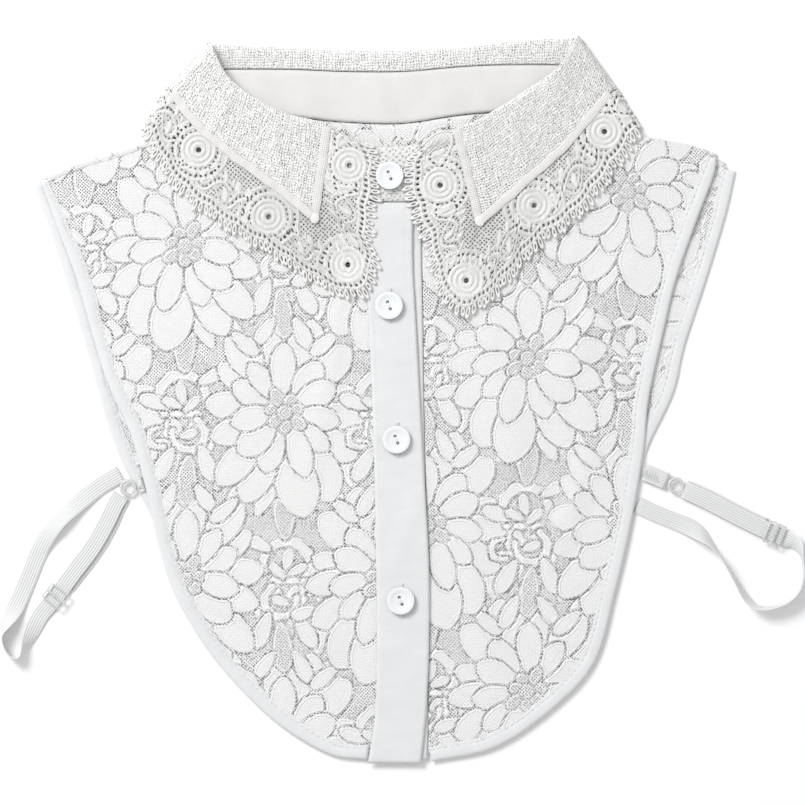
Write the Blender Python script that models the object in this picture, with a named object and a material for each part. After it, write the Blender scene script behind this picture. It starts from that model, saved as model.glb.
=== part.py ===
"""Detachable lace shirt front with a lace collar, laid flat on its back.

A sleeveless half shirt of floral lace: a back panel and two front panels, bound
round the armholes and hem, a buttoned cotton placket, a shirt collar on a stand,
and an elastic strap at each side. It lies with its front up and its hem towards
-Y. Lengths in the tables are millimetres; each mesh is built in metres.

The layers from the surface up: the back of the collar, the back panel, the front
panels, the placket, the collar stand, the collar leaves and the buttons.
"""

import math

import bpy
from mathutils import Vector
from mathutils.geometry import delaunay_2d_cdt

METRE = 0.001

# Cloth thicknesses and the space left between two pieces, in millimetres.
GAP = 0.3
LACE = 1.0
BINDING = 1.3
COTTON = 1.2
ELASTIC = 1.1
TAPE = 1.0

# Heights of the flat layers away from the collar.
BACK_Z = 0.0
FRONT_Z = 1.6
PLACKET_Z = FRONT_Z + LACE + GAP

# The panels rise over the back of the collar, which lies under them.
COLLAR_LIFT = COTTON + GAP
COLLAR_CENTRE = (-5.0, 150.0)
COLLAR_REACH = (132.0, 56.0)
COLLAR_FADE = 0.5

# Spacing of the points along a cut edge and inside a panel.
EDGE_STEP = 9.0
PANEL_STEP = 16.0
STRIP_STEP = 18.0
RIBBON_STEP = 6.0
# Shares of the way from the tape corner up the front fold where the tape is held down.
FOLD_SHARES = (0.97, 0.7, 0.4, 0.08)
TAPE_LIFT = 0.15
# Gaps left beside the stand seam, as multiples of the common gap.
NECK_GAP = 1.4 * GAP
STAND_GAP = 1.5 * GAP

SHOULDER_SEAM = 3.6
STRAP_WIDTH = 8.2

BUTTON_SIDES = 28
HOLE_SIDES = 12
HOLE_DEPTH = 8.0
HOLE_LEAN = 0.4
BUTTON_HOLE_RADIUS = 0.75
BUTTON_HOLE_OFFSET = 1.6

# Armhole and hem edges from shoulder to placket: x, y, width of the binding.
FRONT_LEFT_EDGE = (
    (-173.5, 105.0, 3.0),
    (-164.5, 80.0, 6.0),
    (-155.5, 56.0, 6.5),
    (-149.5, 34.0, 6.5),
    (-141.5, 8.5, 6.5),
    (-130.5, -16.5, 6.8),
    (-123.5, -41.0, 7.0),
    (-117.0, -70.0, 6.8),
    (-108.5, -95.0, 7.0),
    (-90.0, -124.5, 7.0),
    (-62.5, -153.0, 7.0),
    (-36.0, -169.5, 6.5),
    (-16.6, -172.6, 6.4),
)
FRONT_RIGHT_EDGE = (
    (150.5, 116.0, 4.5),
    (149.0, 107.0, 6.5),
    (140.0, 83.0, 6.8),
    (131.0, 57.0, 6.8),
    (124.5, 30.0, 6.5),
    (118.0, 0.0, 6.8),
    (115.6, -25.0, 7.0),
    (109.5, -60.0, 7.0),
    (102.0, -92.0, 7.0),
    (92.5, -125.0, 7.0),
    (74.0, -146.5, 7.0),
    (45.0, -166.5, 7.0),
    (14.0, -173.5, 7.0),
)
# The back's edge runs on round the hem, a little inside the fronts'.
BACK_EDGE = (
    (-177.0, 103.5, 5.0),
    (-167.0, 75.0, 6.5),
    (-158.3, 47.0, 6.5),
    (-149.8, 18.5, 6.5),
    (-142.3, -9.0, 6.5),
    (-134.0, -31.0, 6.5),
    (-122.5, -52.0, 6.5),
    (-114.0, -72.0, 6.5),
    (-105.0, -94.0, 6.5),
    (-87.0, -122.5, 6.5),
    (-60.5, -150.0, 6.5),
    (-30.0, -167.0, 6.5),
    (5.0, -170.5, 6.5),
    (43.5, -163.0, 6.5),
    (71.5, -144.0, 6.5),
    (89.5, -122.5, 6.5),
    (98.5, -92.0, 6.5),
    (106.0, -62.0, 6.5),
    (112.0, -42.0, 6.5),
    (118.0, -22.5, 6.5),
    (130.0, 3.3, 6.5),
    (135.6, 26.5, 6.5),
    (145.6, 57.0, 6.5),
    (155.3, 89.3, 6.5),
    (159.8, 109.5, 6.5),
)
# Shoulder outlines from the neck to the armhole: x, y.
SHOULDER_LEFT = (
    (-94.4, 137.0),
    (-118.0, 126.4),
    (-132.0, 121.0),
    (-144.0, 117.4),
    (-156.5, 113.4),
    (-168.0, 108.8),
    (-176.0, 105.0),
)
SHOULDER_RIGHT = (
    (86.2, 137.2),
    (109.2, 127.3),
    (122.0, 125.2),
    (136.0, 122.6),
    (147.0, 119.4),
    (154.6, 115.8),
    (159.6, 111.2),
)
# The button placket down the front: y, left edge, right edge.
PLACKET = (
    (94.6, -18.0, 5.0),
    (66.0, -17.2, 4.9),
    (45.0, -16.4, 6.0),
    (-16.0, -14.0, 9.3),
    (-77.0, -12.7, 12.6),
    (-115.0, -12.3, 12.8),
    (-145.0, -12.8, 11.7),
    (-160.0, -14.2, 10.4),
    (-174.2, -16.6, 8.8),
)
# The strip that the buttons are sewn on, under the placket: y, left edge, right edge.
UNDER_PLACKET = (
    (94.4, -11.0, 9.0),
    (66.0, -10.6, 9.2),
    (45.0, -10.0, 9.6),
    (-16.0, -8.0, 10.4),
    (-77.0, -6.6, 11.9),
    (-115.0, -6.2, 12.2),
    (-145.0, -6.6, 12.0),
    (-160.0, -8.0, 12.2),
    (-172.6, -9.4, 11.8),
)
PLACKET_OVERLAP = 5.0

# Cross-sections of the collar from the left front end, round the back, to the right
# front end. Each row: bottom and top of the stand, then the roll line of the fall,
# the height of the fall just past the roll, and the line where the tape covers the
# fall's lower edge. A row with no roll line belongs to the stand's buttoned ends.
# bottom x, y, z | top x, y, z | roll x, y, fall z | tape x, y, z
COLLAR = (
    ((6.0, 94.9, 5.0), (9.0, 122.5, 6.8), None, None),
    ((-13.0, 95.6, 5.0), (-14.0, 121.2, 6.8), None, None),
    ((-35.0, 101.5, 4.1), (-37.0, 129.0, 6.9), (-36.0, 132.2, 8.9), (-42.0, 87.0, 4.9)),
    ((-50.0, 106.5, 3.9), (-47.0, 130.3, 7.1), (-46.0, 134.4, 9.2), (-52.0, 95.5, 5.2)),
    ((-66.0, 111.5, 3.9), (-59.0, 132.5, 7.2), (-58.0, 137.6, 9.5), (-66.0, 106.0, 5.5)),
    ((-82.0, 122.0, 3.9), (-76.5, 141.0, 7.2), (-75.0, 147.0, 9.5), (-84.0, 119.5, 5.7)),
    ((-90.0, 131.5, 3.9), (-84.5, 149.5, 7.0), (-85.0, 156.4, 9.5), (-98.0, 131.5, 5.9)),
    ((-93.4, 137.2, 3.7), (-89.2, 155.8, 6.3), (-91.0, 168.6, 8.2), (-110.2, 147.4, 5.4)),
    ((-94.4, 138.2, 2.9), (-90.2, 157.2, 4.3), (-92.0, 170.8, 4.4), (-111.4, 148.6, 3.0)),
    ((-93.2, 138.8, 2.1), (-89.0, 158.2, 2.1), (-90.6, 170.0, 0.6), (-109.8, 147.6, 0.6)),
    ((-54.0, 136.0, 2.1), (-54.0, 158.2, 2.1), (-54.0, 168.2, 0.6), (-56.0, 139.5, 0.6)),
    ((-28.0, 133.4, 2.1), (-28.0, 157.2, 2.1), (-28.0, 167.2, 0.6), (-28.0, 138.2, 0.6)),
    ((0.0, 132.8, 2.1), (0.0, 157.2, 2.1), (0.0, 167.2, 0.6), (0.0, 138.0, 0.6)),
    ((25.0, 136.4, 2.1), (27.0, 159.4, 2.1), (27.0, 168.4, 0.6), (28.0, 139.4, 0.6)),
    ((45.0, 138.2, 2.1), (48.0, 160.4, 2.1), (47.0, 170.8, 0.6), (51.0, 142.0, 0.6)),
    ((84.6, 139.4, 2.1), (80.0, 160.3, 2.1), (81.6, 173.4, 0.6), (99.0, 148.6, 0.6)),
    ((85.8, 138.4, 2.9), (81.2, 159.6, 4.3), (83.4, 174.2, 4.4), (100.8, 148.2, 3.0)),
    ((84.8, 137.4, 3.7), (80.0, 158.4, 6.3), (82.2, 171.6, 8.2), (99.4, 146.8, 5.4)),
    ((82.0, 131.0, 3.9), (74.5, 152.8, 7.0), (75.6, 160.2, 9.5), (87.5, 133.2, 5.9)),
    ((73.0, 121.5, 3.9), (63.2, 144.4, 7.2), (64.8, 151.6, 9.5), (75.0, 118.8, 5.7)),
    ((58.5, 111.0, 3.9), (45.4, 133.4, 7.2), (46.0, 139.6, 9.5), (60.0, 105.8, 5.5)),
    ((44.0, 104.5, 3.9), (34.4, 128.8, 7.0), (35.0, 133.2, 9.2), (47.0, 94.0, 5.2)),
    ((31.0, 99.5, 3.7), (25.0, 127.0, 6.6), (25.6, 130.8, 8.9), (37.0, 85.6, 4.9)),
    ((12.0, 95.2, 3.5), (13.0, 122.5, 5.2), None, None),
    ((-11.0, 95.8, 3.5), (-11.0, 119.5, 5.2), None, None),
)
# Outer edge of the lace edging past each tape point of the fall: x, y, z.
EDGING_OUTER = (
    (-28.0, 52.8, 4.6),
    (-44.0, 61.0, 4.0),
    (-62.0, 73.0, 4.2),
    (-86.0, 87.6, 5.2),
    (-108.0, 106.0, 5.4),
    (-120.2, 128.2, 5.8),
    (-121.6, 129.8, 3.2),
    (-119.8, 128.2, 0.6),
    (-60.0, 114.0, 0.6),
    (-28.0, 112.8, 0.6),
    (0.0, 112.6, 0.6),
    (30.0, 113.8, 0.6),
    (56.0, 116.0, 0.6),
    (109.6, 129.2, 0.6),
    (111.6, 130.6, 3.2),
    (110.2, 129.0, 5.8),
    (100.0, 113.5, 5.4),
    (83.0, 91.5, 5.2),
    (64.5, 77.5, 4.2),
    (50.0, 60.5, 4.0),
    (34.0, 45.6, 4.6),
)
# The edging runs on up the front edge of each leaf. Rows from the corner up:
# share of the way up the fall's front edge, then the outer edge x, y, z.
EDGING_LEFT_FRONT = (
    (0.03, -19.0, 54.6, 5.4),
    (0.09, -15.0, 66.0, 5.4),
    (0.20, -18.0, 80.0, 5.6),
    (0.36, -16.4, 95.0, 6.7),
    (0.68, -14.9, 112.0, 8.1),
    (0.96, -18.0, 123.0, 8.6),
)
EDGING_RIGHT_FRONT = (
    (0.03, 23.5, 48.0, 5.2),
    (0.09, 18.0, 60.0, 5.2),
    (0.20, 13.5, 78.0, 5.4),
    (0.36, 7.6, 93.0, 6.7),
    (0.68, 5.0, 111.0, 8.1),
    (0.96, 13.0, 122.5, 8.8),
)
TAPE_WIDTH = 4.0
EDGING_GAP = 0.5

# Button centres: x, y, height of the cloth below the button.
BUTTONS = (
    (-6.2, 107.4, 6.6),
    (-6.5, 45.2, PLACKET_Z + COTTON),
    (-2.9, -19.1, PLACKET_Z + COTTON),
    (-0.9, -96.3, PLACKET_Z + COTTON),
)
# Half section of a button, from the middle of its face to the middle of its back: r, z.
BUTTON_PROFILE = ((3.4, 1.5), (4.4, 2.1), (5.4, 2.4), (6.2, 2.1), (6.6, 1.3), (6.1, 0.4), (5.0, 0.0))

# Centre lines of the elastic straps: x, y, height of the lowest edge, tilt in degrees
# (90 stands on its edge).
STRAP_LEFT = (
    (-135.0, -35.6, 0.0, 0.0),
    (-145.2, -41.6, 0.0, 0.0),
    (-155.5, -49.6, 0.0, 12.0),
    (-164.2, -57.7, 0.0, 30.0),
    (-171.0, -66.5, 0.0, 12.0),
    (-175.4, -75.5, 0.0, 0.0),
    (-180.4, -88.0, 0.0, 0.0),
    (-185.6, -99.5, 0.0, 10.0),
    (-190.0, -107.0, 0.0, 48.0),
    (-192.0, -113.0, 0.0, 85.0),
    (-190.8, -119.0, 0.0, 90.0),
    (-187.4, -123.6, 0.0, 90.0),
    (-183.8, -123.6, 0.0, 90.0),
    (-181.2, -119.0, 0.0, 70.0),
    (-178.2, -111.6, 0.0, 22.0),
    (-173.8, -103.2, 0.4, 0.0),
    (-166.3, -94.2, 0.9, 0.0),
    (-158.2, -83.1, 1.45, 0.0),
    (-148.6, -70.2, 1.45, 0.0),
    (-142.3, -59.1, 1.45, 0.0),
    (-138.2, -50.6, 1.45, 0.0),
    (-135.2, -45.6, 1.45, 0.0),
)
STRAP_LEFT_RETURN = (
    (-134.3, -46.2, 0.0, 0.0),
    (-137.0, -51.2, 0.0, 0.0),
    (-140.8, -60.0, 0.0, 0.0),
    (-147.2, -71.2, 0.0, 0.0),
    (-157.0, -84.2, 0.0, 0.0),
    (-161.0, -89.2, 0.0, 0.0),
)
STRAP_RIGHT = (
    (135.0, -43.2, 1.45, 0.0),
    (146.2, -48.4, 1.45, 0.0),
    (162.0, -56.6, 1.45, 0.0),
    (175.4, -63.0, 1.45, 0.0),
    (183.2, -66.2, 1.45, 0.0),
    (188.4, -68.8, 0.0, 40.0),
    (191.4, -75.0, 0.0, 84.0),
    (192.4, -83.4, 0.0, 90.0),
    (190.2, -91.8, 0.0, 90.0),
    (183.6, -97.8, 0.0, 88.0),
    (172.5, -100.0, 0.0, 78.0),
    (165.6, -96.0, 0.0, 66.0),
    (159.0, -85.4, 0.0, 76.0),
    (152.6, -75.6, 0.0, 88.0),
    (147.2, -68.4, 0.0, 66.0),
    (140.2, -62.4, 0.0, 18.0),
    (130.8, -58.4, 0.0, 0.0),
    (121.2, -54.6, 0.0, 0.0),
    (112.6, -50.4, 0.0, 0.0),
)
STRAP_RIGHT_RETURN = (
    (135.6, -42.0, 0.0, 0.0),
    (146.6, -46.9, 0.0, 0.0),
    (162.6, -55.2, 0.0, 0.0),
    (174.0, -60.7, 0.0, 0.0),
)
STRAP_TAB_LEFT = ((-124.5, -40.1, 1.6, 0.0), (-127.2, -41.0, 1.6, 0.0))
STRAP_TAB_RIGHT = ((116.0, -34.6, 1.6, 0.0), (121.5, -36.8, 1.6, 0.0), (126.9, -39.2, 1.6, 0.0))

# Ring centres: x, y, z. The rings join each strap to its tab.
RINGS = {"strap_ring_left": (-131.7, -42.1, 2.5), "strap_ring_right": (131.1, -41.1, 2.5)}
RING_RADIUS = 3.2
RING_WIRE = 0.9
RING_SIDES = (24, 8)

# Slider centres: x, y, underside z, turn in degrees.
SLIDERS = {
    "strap_slider_left": (-166.3, -94.2, 2.9, 52.0),
    "strap_slider_right": (178.4, -64.4, 2.9, -23.0),
}
SLIDER_LENGTH = 8.6
SLIDER_WIDTH = 11.0
SLIDER_THICK = 1.3
SLIDER_BAR = 1.4

# Material name: colour, roughness.
FINISHES = {
    "lace": ((0.83, 0.84, 0.83), 0.75),
    "cotton": ((0.88, 0.89, 0.90), 0.80),
    "gauze": ((0.86, 0.85, 0.83), 0.80),
    "guipure": ((0.88, 0.87, 0.85), 0.70),
    "elastic": ((0.85, 0.86, 0.86), 0.60),
    "button": ((0.90, 0.92, 0.93), 0.15),
    "clear": ((0.86, 0.87, 0.86), 0.20),
}


def clear_scene():
    for found in list(bpy.data.objects):
        bpy.data.objects.remove(found, do_unlink=True)


def material(name):
    """Returns the named Principled material, made once."""
    made = bpy.data.materials.get(name)
    if made:
        return made
    colour, roughness = FINISHES[name]
    made = bpy.data.materials.new(name)
    made.use_nodes = True
    shader = made.node_tree.nodes["Principled BSDF"]
    shader.inputs["Base Color"].default_value = (*colour, 1.0)
    shader.inputs["Roughness"].default_value = roughness
    shader.inputs["Metallic"].default_value = 0.0
    return made


def add_mesh(name, points, faces, finish, smooth=False):
    """Makes an object from points in millimetres."""
    mesh = bpy.data.meshes.new(name)
    mesh.from_pydata([[value * METRE for value in point] for point in points], [], faces)
    mesh.validate()
    mesh.materials.append(material(finish))
    made = bpy.data.objects.new(name, mesh)
    bpy.context.scene.collection.objects.link(made)
    if smooth:
        mesh.shade_smooth()
        mesh.set_sharp_from_angle(angle=math.radians(35.0))
    return made


def smoothstep(value):
    held = min(max(value, 0.0), 1.0)
    return held * held * (3.0 - 2.0 * held)


def lift(x, y):
    """Height by which the panels rise over the hidden back of the collar."""
    across = (x - COLLAR_CENTRE[0]) / COLLAR_REACH[0]
    along = (y - COLLAR_CENTRE[1]) / COLLAR_REACH[1]
    beyond = math.hypot(across, along) - 1.0
    return COLLAR_LIFT * (1.0 - smoothstep(beyond / COLLAR_FADE))


def curve_through(rows, step=EDGE_STEP):
    """Reads rows of numbers as a smooth curve, with a row about every step of length."""
    table = [Vector(row) for row in rows]
    table = [2.0 * table[0] - table[1], *table, 2.0 * table[-1] - table[-2]]
    found = []
    for before, start, end, after in zip(table, table[1:], table[2:], table[3:]):
        parts = max(1, round((end.xy - start.xy).length / step))
        for part in range(parts):
            t = part / parts
            found.append(
                0.5
                * (
                    2.0 * start
                    + (end - before) * t
                    + (2.0 * before - 5.0 * start + 4.0 * end - after) * t**2
                    + (3.0 * start - before - 3.0 * end + after) * t**3
                )
            )
    found.append(table[-2].copy())
    return found


def inwards(path, index, side):
    """Unit vector in the plan, square to a path, on its left (side 1) or right (-1)."""
    ahead = path[min(index + 1, len(path) - 1)].xy - path[max(index - 1, 0)].xy
    ahead.normalize()
    return Vector((-ahead.y, ahead.x)) * side


def moved_in(path, side, extra):
    """The plan line that lies the binding's width and the given gap inside an edge."""
    return [
        row.xy + inwards(path, index, side) * (row.z + extra) for index, row in enumerate(path)
    ]


def inside(point, outline):
    """Whether a plan point lies inside a closed outline."""
    crossings = 0
    for start, end in zip(outline, outline[1:] + outline[:1]):
        if (start.y > point.y) != (end.y > point.y):
            across = start.x + (point.y - start.y) * (end.x - start.x) / (end.y - start.y)
            crossings += across > point.x
    return crossings % 2 == 1


def distance_to(point, outline):
    nearest = math.inf
    for start, end in zip(outline, outline[1:] + outline[:1]):
        run = end - start
        share = min(max((point - start).dot(run) / max(run.length_squared, 1e-9), 0.0), 1.0)
        nearest = min(nearest, (start + run * share - point).length)
    return nearest


def plate(name, outline, base, thickness, finish):
    """A flat piece of cloth with the given outline, lifted over the collar."""
    outline = [Vector(point[:2]) for point in outline]
    points = list(outline)
    low = [min(point[axis] for point in outline) for axis in (0, 1)]
    high = [max(point[axis] for point in outline) for axis in (0, 1)]
    rows = int((high[1] - low[1]) / PANEL_STEP) + 1
    columns = int((high[0] - low[0]) / PANEL_STEP) + 1
    for row in range(rows):
        shift = 0.5 * (row % 2)
        for column in range(columns):
            spot = Vector((low[0] + (column + shift) * PANEL_STEP, low[1] + row * PANEL_STEP))
            if inside(spot, outline) and distance_to(spot, outline) > 0.4 * PANEL_STEP:
                points.append(spot)
    loop = [list(range(len(outline)))]
    flat, _, triangles, *_ = delaunay_2d_cdt(points, [], loop, 1, 1e-5)
    count = len(flat)
    top = [(p.x, p.y, base + thickness + lift(p.x, p.y)) for p in flat]
    bottom = [(p.x, p.y, base + lift(p.x, p.y)) for p in flat]
    faces = []
    edges = {}
    for triangle in triangles:
        a, b, c = triangle
        if (flat[b] - flat[a]).cross(flat[c] - flat[a]) < 0.0:
            b, c = c, b
        faces.append((a, b, c))
        faces.append((a + count, c + count, b + count))
        for start, end in ((a, b), (b, c), (c, a)):
            edges[start, end] = True
    for start, end in edges:
        if (end, start) not in edges:
            faces.append((start, start + count, end + count, end))
    return add_mesh(name, top + bottom, faces, finish)


def shell(name, rows, thickness, finish):
    """A wall of cloth along a grid of points, half its thickness to each side."""
    rows = [[Vector(point) for point in row] for row in rows]
    count, width = len(rows), len(rows[0])
    top, bottom = [], []
    for i, row in enumerate(rows):
        for j, point in enumerate(row):
            along = rows[min(i + 1, count - 1)][j] - rows[max(i - 1, 0)][j]
            across = row[min(j + 1, width - 1)] - row[max(j - 1, 0)]
            normal = along.cross(across).normalized()
            top.append(point + normal * thickness / 2.0)
            bottom.append(point - normal * thickness / 2.0)
    under = count * width
    faces = []
    for i in range(count - 1):
        for j in range(width - 1):
            a, b = i * width + j, (i + 1) * width + j
            faces.append((a, b, b + 1, a + 1))
            faces.append((a + under, a + 1 + under, b + 1 + under, b + under))
    rim = [j for j in range(width)]
    rim += [i * width + width - 1 for i in range(1, count)]
    rim += [(count - 1) * width + j for j in range(width - 2, -1, -1)]
    rim += [i * width for i in range(count - 2, 0, -1)]
    for start, end in zip(rim, rim[1:] + rim[:1]):
        faces.append((start, end, end + under, start + under))
    return add_mesh(name, top + bottom, faces, finish)


def lifted(point, height):
    return (point[0], point[1], height + lift(point[0], point[1]))


def bound_edge(name, path, side, base):
    """The folded bias strip along a cut edge."""
    rows = []
    for index, row in enumerate(path):
        inner = row.xy + inwards(path, index, side) * row.z
        middle = base + BINDING / 2.0
        pair = [lifted(row, middle), lifted(inner, middle)]
        rows.append(pair if side > 0 else pair[::-1])
    return shell(name, rows, BINDING, "cotton")


def strip_rows(table, base, thickness):
    """Left and right points of a strip given by rows of y, left, right."""
    path = curve_through([(left, y, right) for y, left, right in table], STRIP_STEP)
    middle = base + thickness / 2.0
    return [[lifted((row.x, row.y), middle), lifted((row.z, row.y), middle)] for row in path]


def neck_line(rows):
    """Plan points just outside the bottom of the stand, where a panel's neck edge lies."""
    found = []
    for bottom, top, *_ in rows:
        down = (Vector(bottom).xy - Vector(top).xy).normalized()
        found.append(Vector(bottom).xy + down * NECK_GAP)
    return found


def shoulder(table, inset):
    """A shoulder line moved down by the inset."""
    return [Vector((row.x, row.y - inset)) for row in curve_through([(x, y, 0.0) for x, y in table])]


def build_panels():
    """Back and front lace panels with the bindings of their armholes and hem."""
    back_path = curve_through(BACK_EDGE)
    left_path = curve_through(FRONT_LEFT_EDGE)
    right_path = curve_through(FRONT_RIGHT_EDGE)
    left_rows = COLLAR[1:8]
    back_rows = COLLAR[9:16]
    right_rows = COLLAR[17:24]

    seam = SHOULDER_SEAM + GAP
    back_edge = moved_in(back_path, 1, GAP)
    back = neck_line(back_rows)
    back += [p for p in shoulder(SHOULDER_RIGHT, seam) if p.x < back_edge[-1].x - 2.0]
    back += reversed(back_edge)
    back += reversed([p for p in shoulder(SHOULDER_LEFT, 0.0) if p.x > back_edge[0].x + 2.0])
    plate("back_panel", back, BACK_Z, LACE, "lace")
    bound_edge("back_binding", back_path, 1, BACK_Z)

    left_edge = moved_in(left_path, 1, GAP)
    placket = curve_through([(y, left, right) for y, left, right in PLACKET], STRIP_STEP)
    overlap = [Vector((row.y + PLACKET_OVERLAP, row.x)) for row in placket]
    overlap = [p for p in overlap if left_edge[-1].y + 1.0 < p.y < 92.0]
    left = neck_line(left_rows)
    left += [p for p in shoulder(SHOULDER_LEFT, seam) if p.x > left_edge[0].x + 2.0]
    left += left_edge
    left += [Vector((overlap[-1].x, left_edge[-1].y)), *reversed(overlap)]
    left.append(Vector((overlap[0].x, left[0].y)))
    plate("front_panel_left", left, FRONT_Z, LACE, "lace")
    bound_edge("front_binding_left", left_path, 1, FRONT_Z)

    right_edge = moved_in(right_path, -1, GAP)
    under = curve_through([(y, left, right) for y, left, right in UNDER_PLACKET], STRIP_STEP)
    front = [Vector((row.z + GAP, row.x)) for row in under]
    front = [p for p in front if right_edge[-1].y + 1.0 < p.y < 94.0]
    right_edge = [p for p in right_edge if p.x > front[-1].x + 1.0]
    right = neck_line(right_rows)
    right += front
    right += [Vector((front[-1].x, right_edge[-1].y)), *reversed(right_edge)]
    right += reversed([p for p in shoulder(SHOULDER_RIGHT, 0.0) if p.x < right_edge[0].x - 2.0])
    plate("front_panel_right", right, FRONT_Z, LACE, "lace")
    bound_edge("front_binding_right", right_path, -1, FRONT_Z)


def build_shoulder_seams():
    """Felled seams: on the front along the left shoulder, behind along the right."""
    for name, table, base, first, last in (
        ("shoulder_seam_left", SHOULDER_LEFT, FRONT_Z, -171.0, -95.0),
        ("shoulder_seam_right", SHOULDER_RIGHT, BACK_Z, 87.0, 152.0),
    ):
        line = [p for p in shoulder(table, 0.0) if first < p.x < last]
        middle = base + LACE / 2.0
        rows = [[lifted(p, middle), lifted(p - Vector((0.0, SHOULDER_SEAM)), middle)] for p in line]
        if line[0].x > line[-1].x:
            rows.reverse()
        shell(name, [row[::-1] for row in rows], LACE, "lace")


def build_plackets():
    """The buttoned band and the strip that carries the buttons under it."""
    rows = [row[::-1] for row in strip_rows(PLACKET, PLACKET_Z, COTTON)]
    shell("button_placket", rows, COTTON, "cotton")
    rows = [row[::-1] for row in strip_rows(UNDER_PLACKET, FRONT_Z, LACE)]
    shell("under_placket", rows, LACE, "cotton")


def fall_section(row):
    """Points across the fall at one collar row: seam, rise, roll, fold and tape."""
    bottom, top, roll, tape = row
    top, tape = Vector(top), Vector(tape)
    up = (top - Vector(bottom)).normalized()
    seam = top + up * STAND_GAP
    crest = Vector((roll[0], roll[1], (top.z + roll[2]) / 2.0))
    fold = Vector((roll[0], roll[1], roll[2]))
    rise = seam.lerp(Vector((roll[0], roll[1], seam.z)), 0.75)
    brow = fold.lerp(Vector((tape.x, tape.y, roll[2])), 0.06)
    belly = brow.lerp(tape, 0.5) + Vector((0.0, 0.0, 0.02 * (roll[2] - tape.z)))
    return [seam, rise, crest, brow, belly, tape]


def build_collar():
    """The stand, the gauze fall, its lace edging and the tapes over their joint."""
    stand = [[Vector(row[1]), Vector(row[0]).lerp(Vector(row[1]), 0.5), Vector(row[0])] for row in COLLAR]
    shell("collar_stand", stand, COTTON, "cotton")

    falls = [row for row in COLLAR if row[2]]
    shell("collar_fall", [fall_section(row) for row in falls], COTTON, "gauze")

    rows = []
    for front, fall, backwards in (
        (EDGING_LEFT_FRONT, falls[0], True),
        (EDGING_RIGHT_FRONT, falls[-1], False),
    ):
        tape = Vector(fall[3])
        fold = Vector((fall[2][0], fall[2][1], fall[2][2]))
        part = []
        for share, x, y, z in front:
            inner = tape.lerp(fold, share)
            outer = Vector((x, y, z))
            part.append([inner + (outer - inner).normalized() * EDGING_GAP, inner.lerp(outer, 0.5), outer])
        rows.append(part[::-1] if backwards else part)
    around = []
    for fall, outer in zip(falls, EDGING_OUTER):
        inner, outer = Vector(fall[3]), Vector(outer)
        around.append([inner + (outer - inner).normalized() * EDGING_GAP, inner.lerp(outer, 0.5), outer])
    shell("lace_edging", rows[0] + around + rows[1], COTTON, "guipure")

    for name, leaf in (("collar_tape_left", falls[:6]), ("collar_tape_right", falls[-6:][::-1])):
        corner = Vector(leaf[0][3])
        fold = Vector((leaf[0][2][0], leaf[0][2][1], leaf[0][2][2]))
        line = [corner.lerp(fold, share) for share in FOLD_SHARES]
        line += [Vector(row[3]) for row in leaf[1:]]
        rows = []
        for index, point in enumerate(line):
            ahead = line[min(index + 1, len(line) - 1)] - line[max(index - 1, 0)]
            side = Vector((-ahead.y, ahead.x, 0.0)).normalized() * TAPE_WIDTH / 2.0
            raised = point + Vector((0.0, 0.0, COTTON / 2.0 + GAP + TAPE / 2.0 + TAPE_LIFT))
            rows.append([raised + side, raised - side])
        if name.endswith("right"):
            rows = [row[::-1] for row in rows]
        shell(name, rows, TAPE, "cotton")


def ribbon(name, table):
    """Flat elastic along a centre line, each row tilted about its run."""
    path = curve_through(table, RIBBON_STEP)
    rows = []
    for index, row in enumerate(path):
        tilt = math.radians(max(row.w, 0.0))
        across = inwards(path, index, 1) * math.cos(tilt)
        half = Vector((across.x, across.y, math.sin(tilt))) * STRAP_WIDTH / 2.0
        rise = half.z + math.cos(tilt) * ELASTIC / 2.0
        centre = Vector((row.x, row.y, max(row.z, 0.0) + rise))
        rows.append([centre - half, centre + half])
    return shell(name, rows, ELASTIC, "elastic")


def ring(name, centre):
    """A closed round ring."""
    around, about = RING_SIDES
    points, faces = [], []
    for i in range(around):
        turn = 2.0 * math.pi * i / around
        for j in range(about):
            twist = 2.0 * math.pi * j / about
            reach = RING_RADIUS + RING_WIRE * math.cos(twist)
            points.append(
                (
                    centre[0] + reach * math.cos(turn),
                    centre[1] + reach * math.sin(turn),
                    centre[2] + RING_WIRE * math.sin(twist),
                )
            )
            a, b = i * about, (i + 1) % around * about
            k = (j + 1) % about
            faces.append((a + j, b + j, b + k, a + k))
    return add_mesh(name, points, faces, "clear", smooth=True)


def slider(name, centre):
    """A flat frame with a middle bar, for the strap to pass through."""
    x, y, z, turn = centre
    edges_x = (-SLIDER_LENGTH / 2, -SLIDER_LENGTH / 2 + SLIDER_BAR, -SLIDER_BAR / 2)
    edges_x = (*edges_x, *(-value for value in reversed(edges_x)))
    half = SLIDER_WIDTH / 2
    edges_y = (-half, -half + SLIDER_BAR, half - SLIDER_BAR, half)
    wall = [(i, j) for i in range(5) for j in range(3) if not (j == 1 and i in (1, 3))]
    angle = math.radians(turn)
    points, faces = [], []
    for height in (z + SLIDER_THICK, z):
        for edge_x in edges_x:
            for edge_y in edges_y:
                points.append(
                    (
                        x + edge_x * math.cos(angle) - edge_y * math.sin(angle),
                        y + edge_x * math.sin(angle) + edge_y * math.cos(angle),
                        height,
                    )
                )
    under = len(edges_x) * len(edges_y)
    edges = set()
    for i, j in wall:
        a, b = 4 * i + j, 4 * (i + 1) + j
        quad = (a, b, b + 1, a + 1)
        faces.append(quad)
        faces.append(tuple(corner + under for corner in reversed(quad)))
        edges.update(zip(quad, quad[1:] + quad[:1]))
    for start, end in sorted(edges):
        if (end, start) not in edges:
            faces.append((start, start + under, end + under, end))
    return add_mesh(name, points, faces, "clear")


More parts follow.
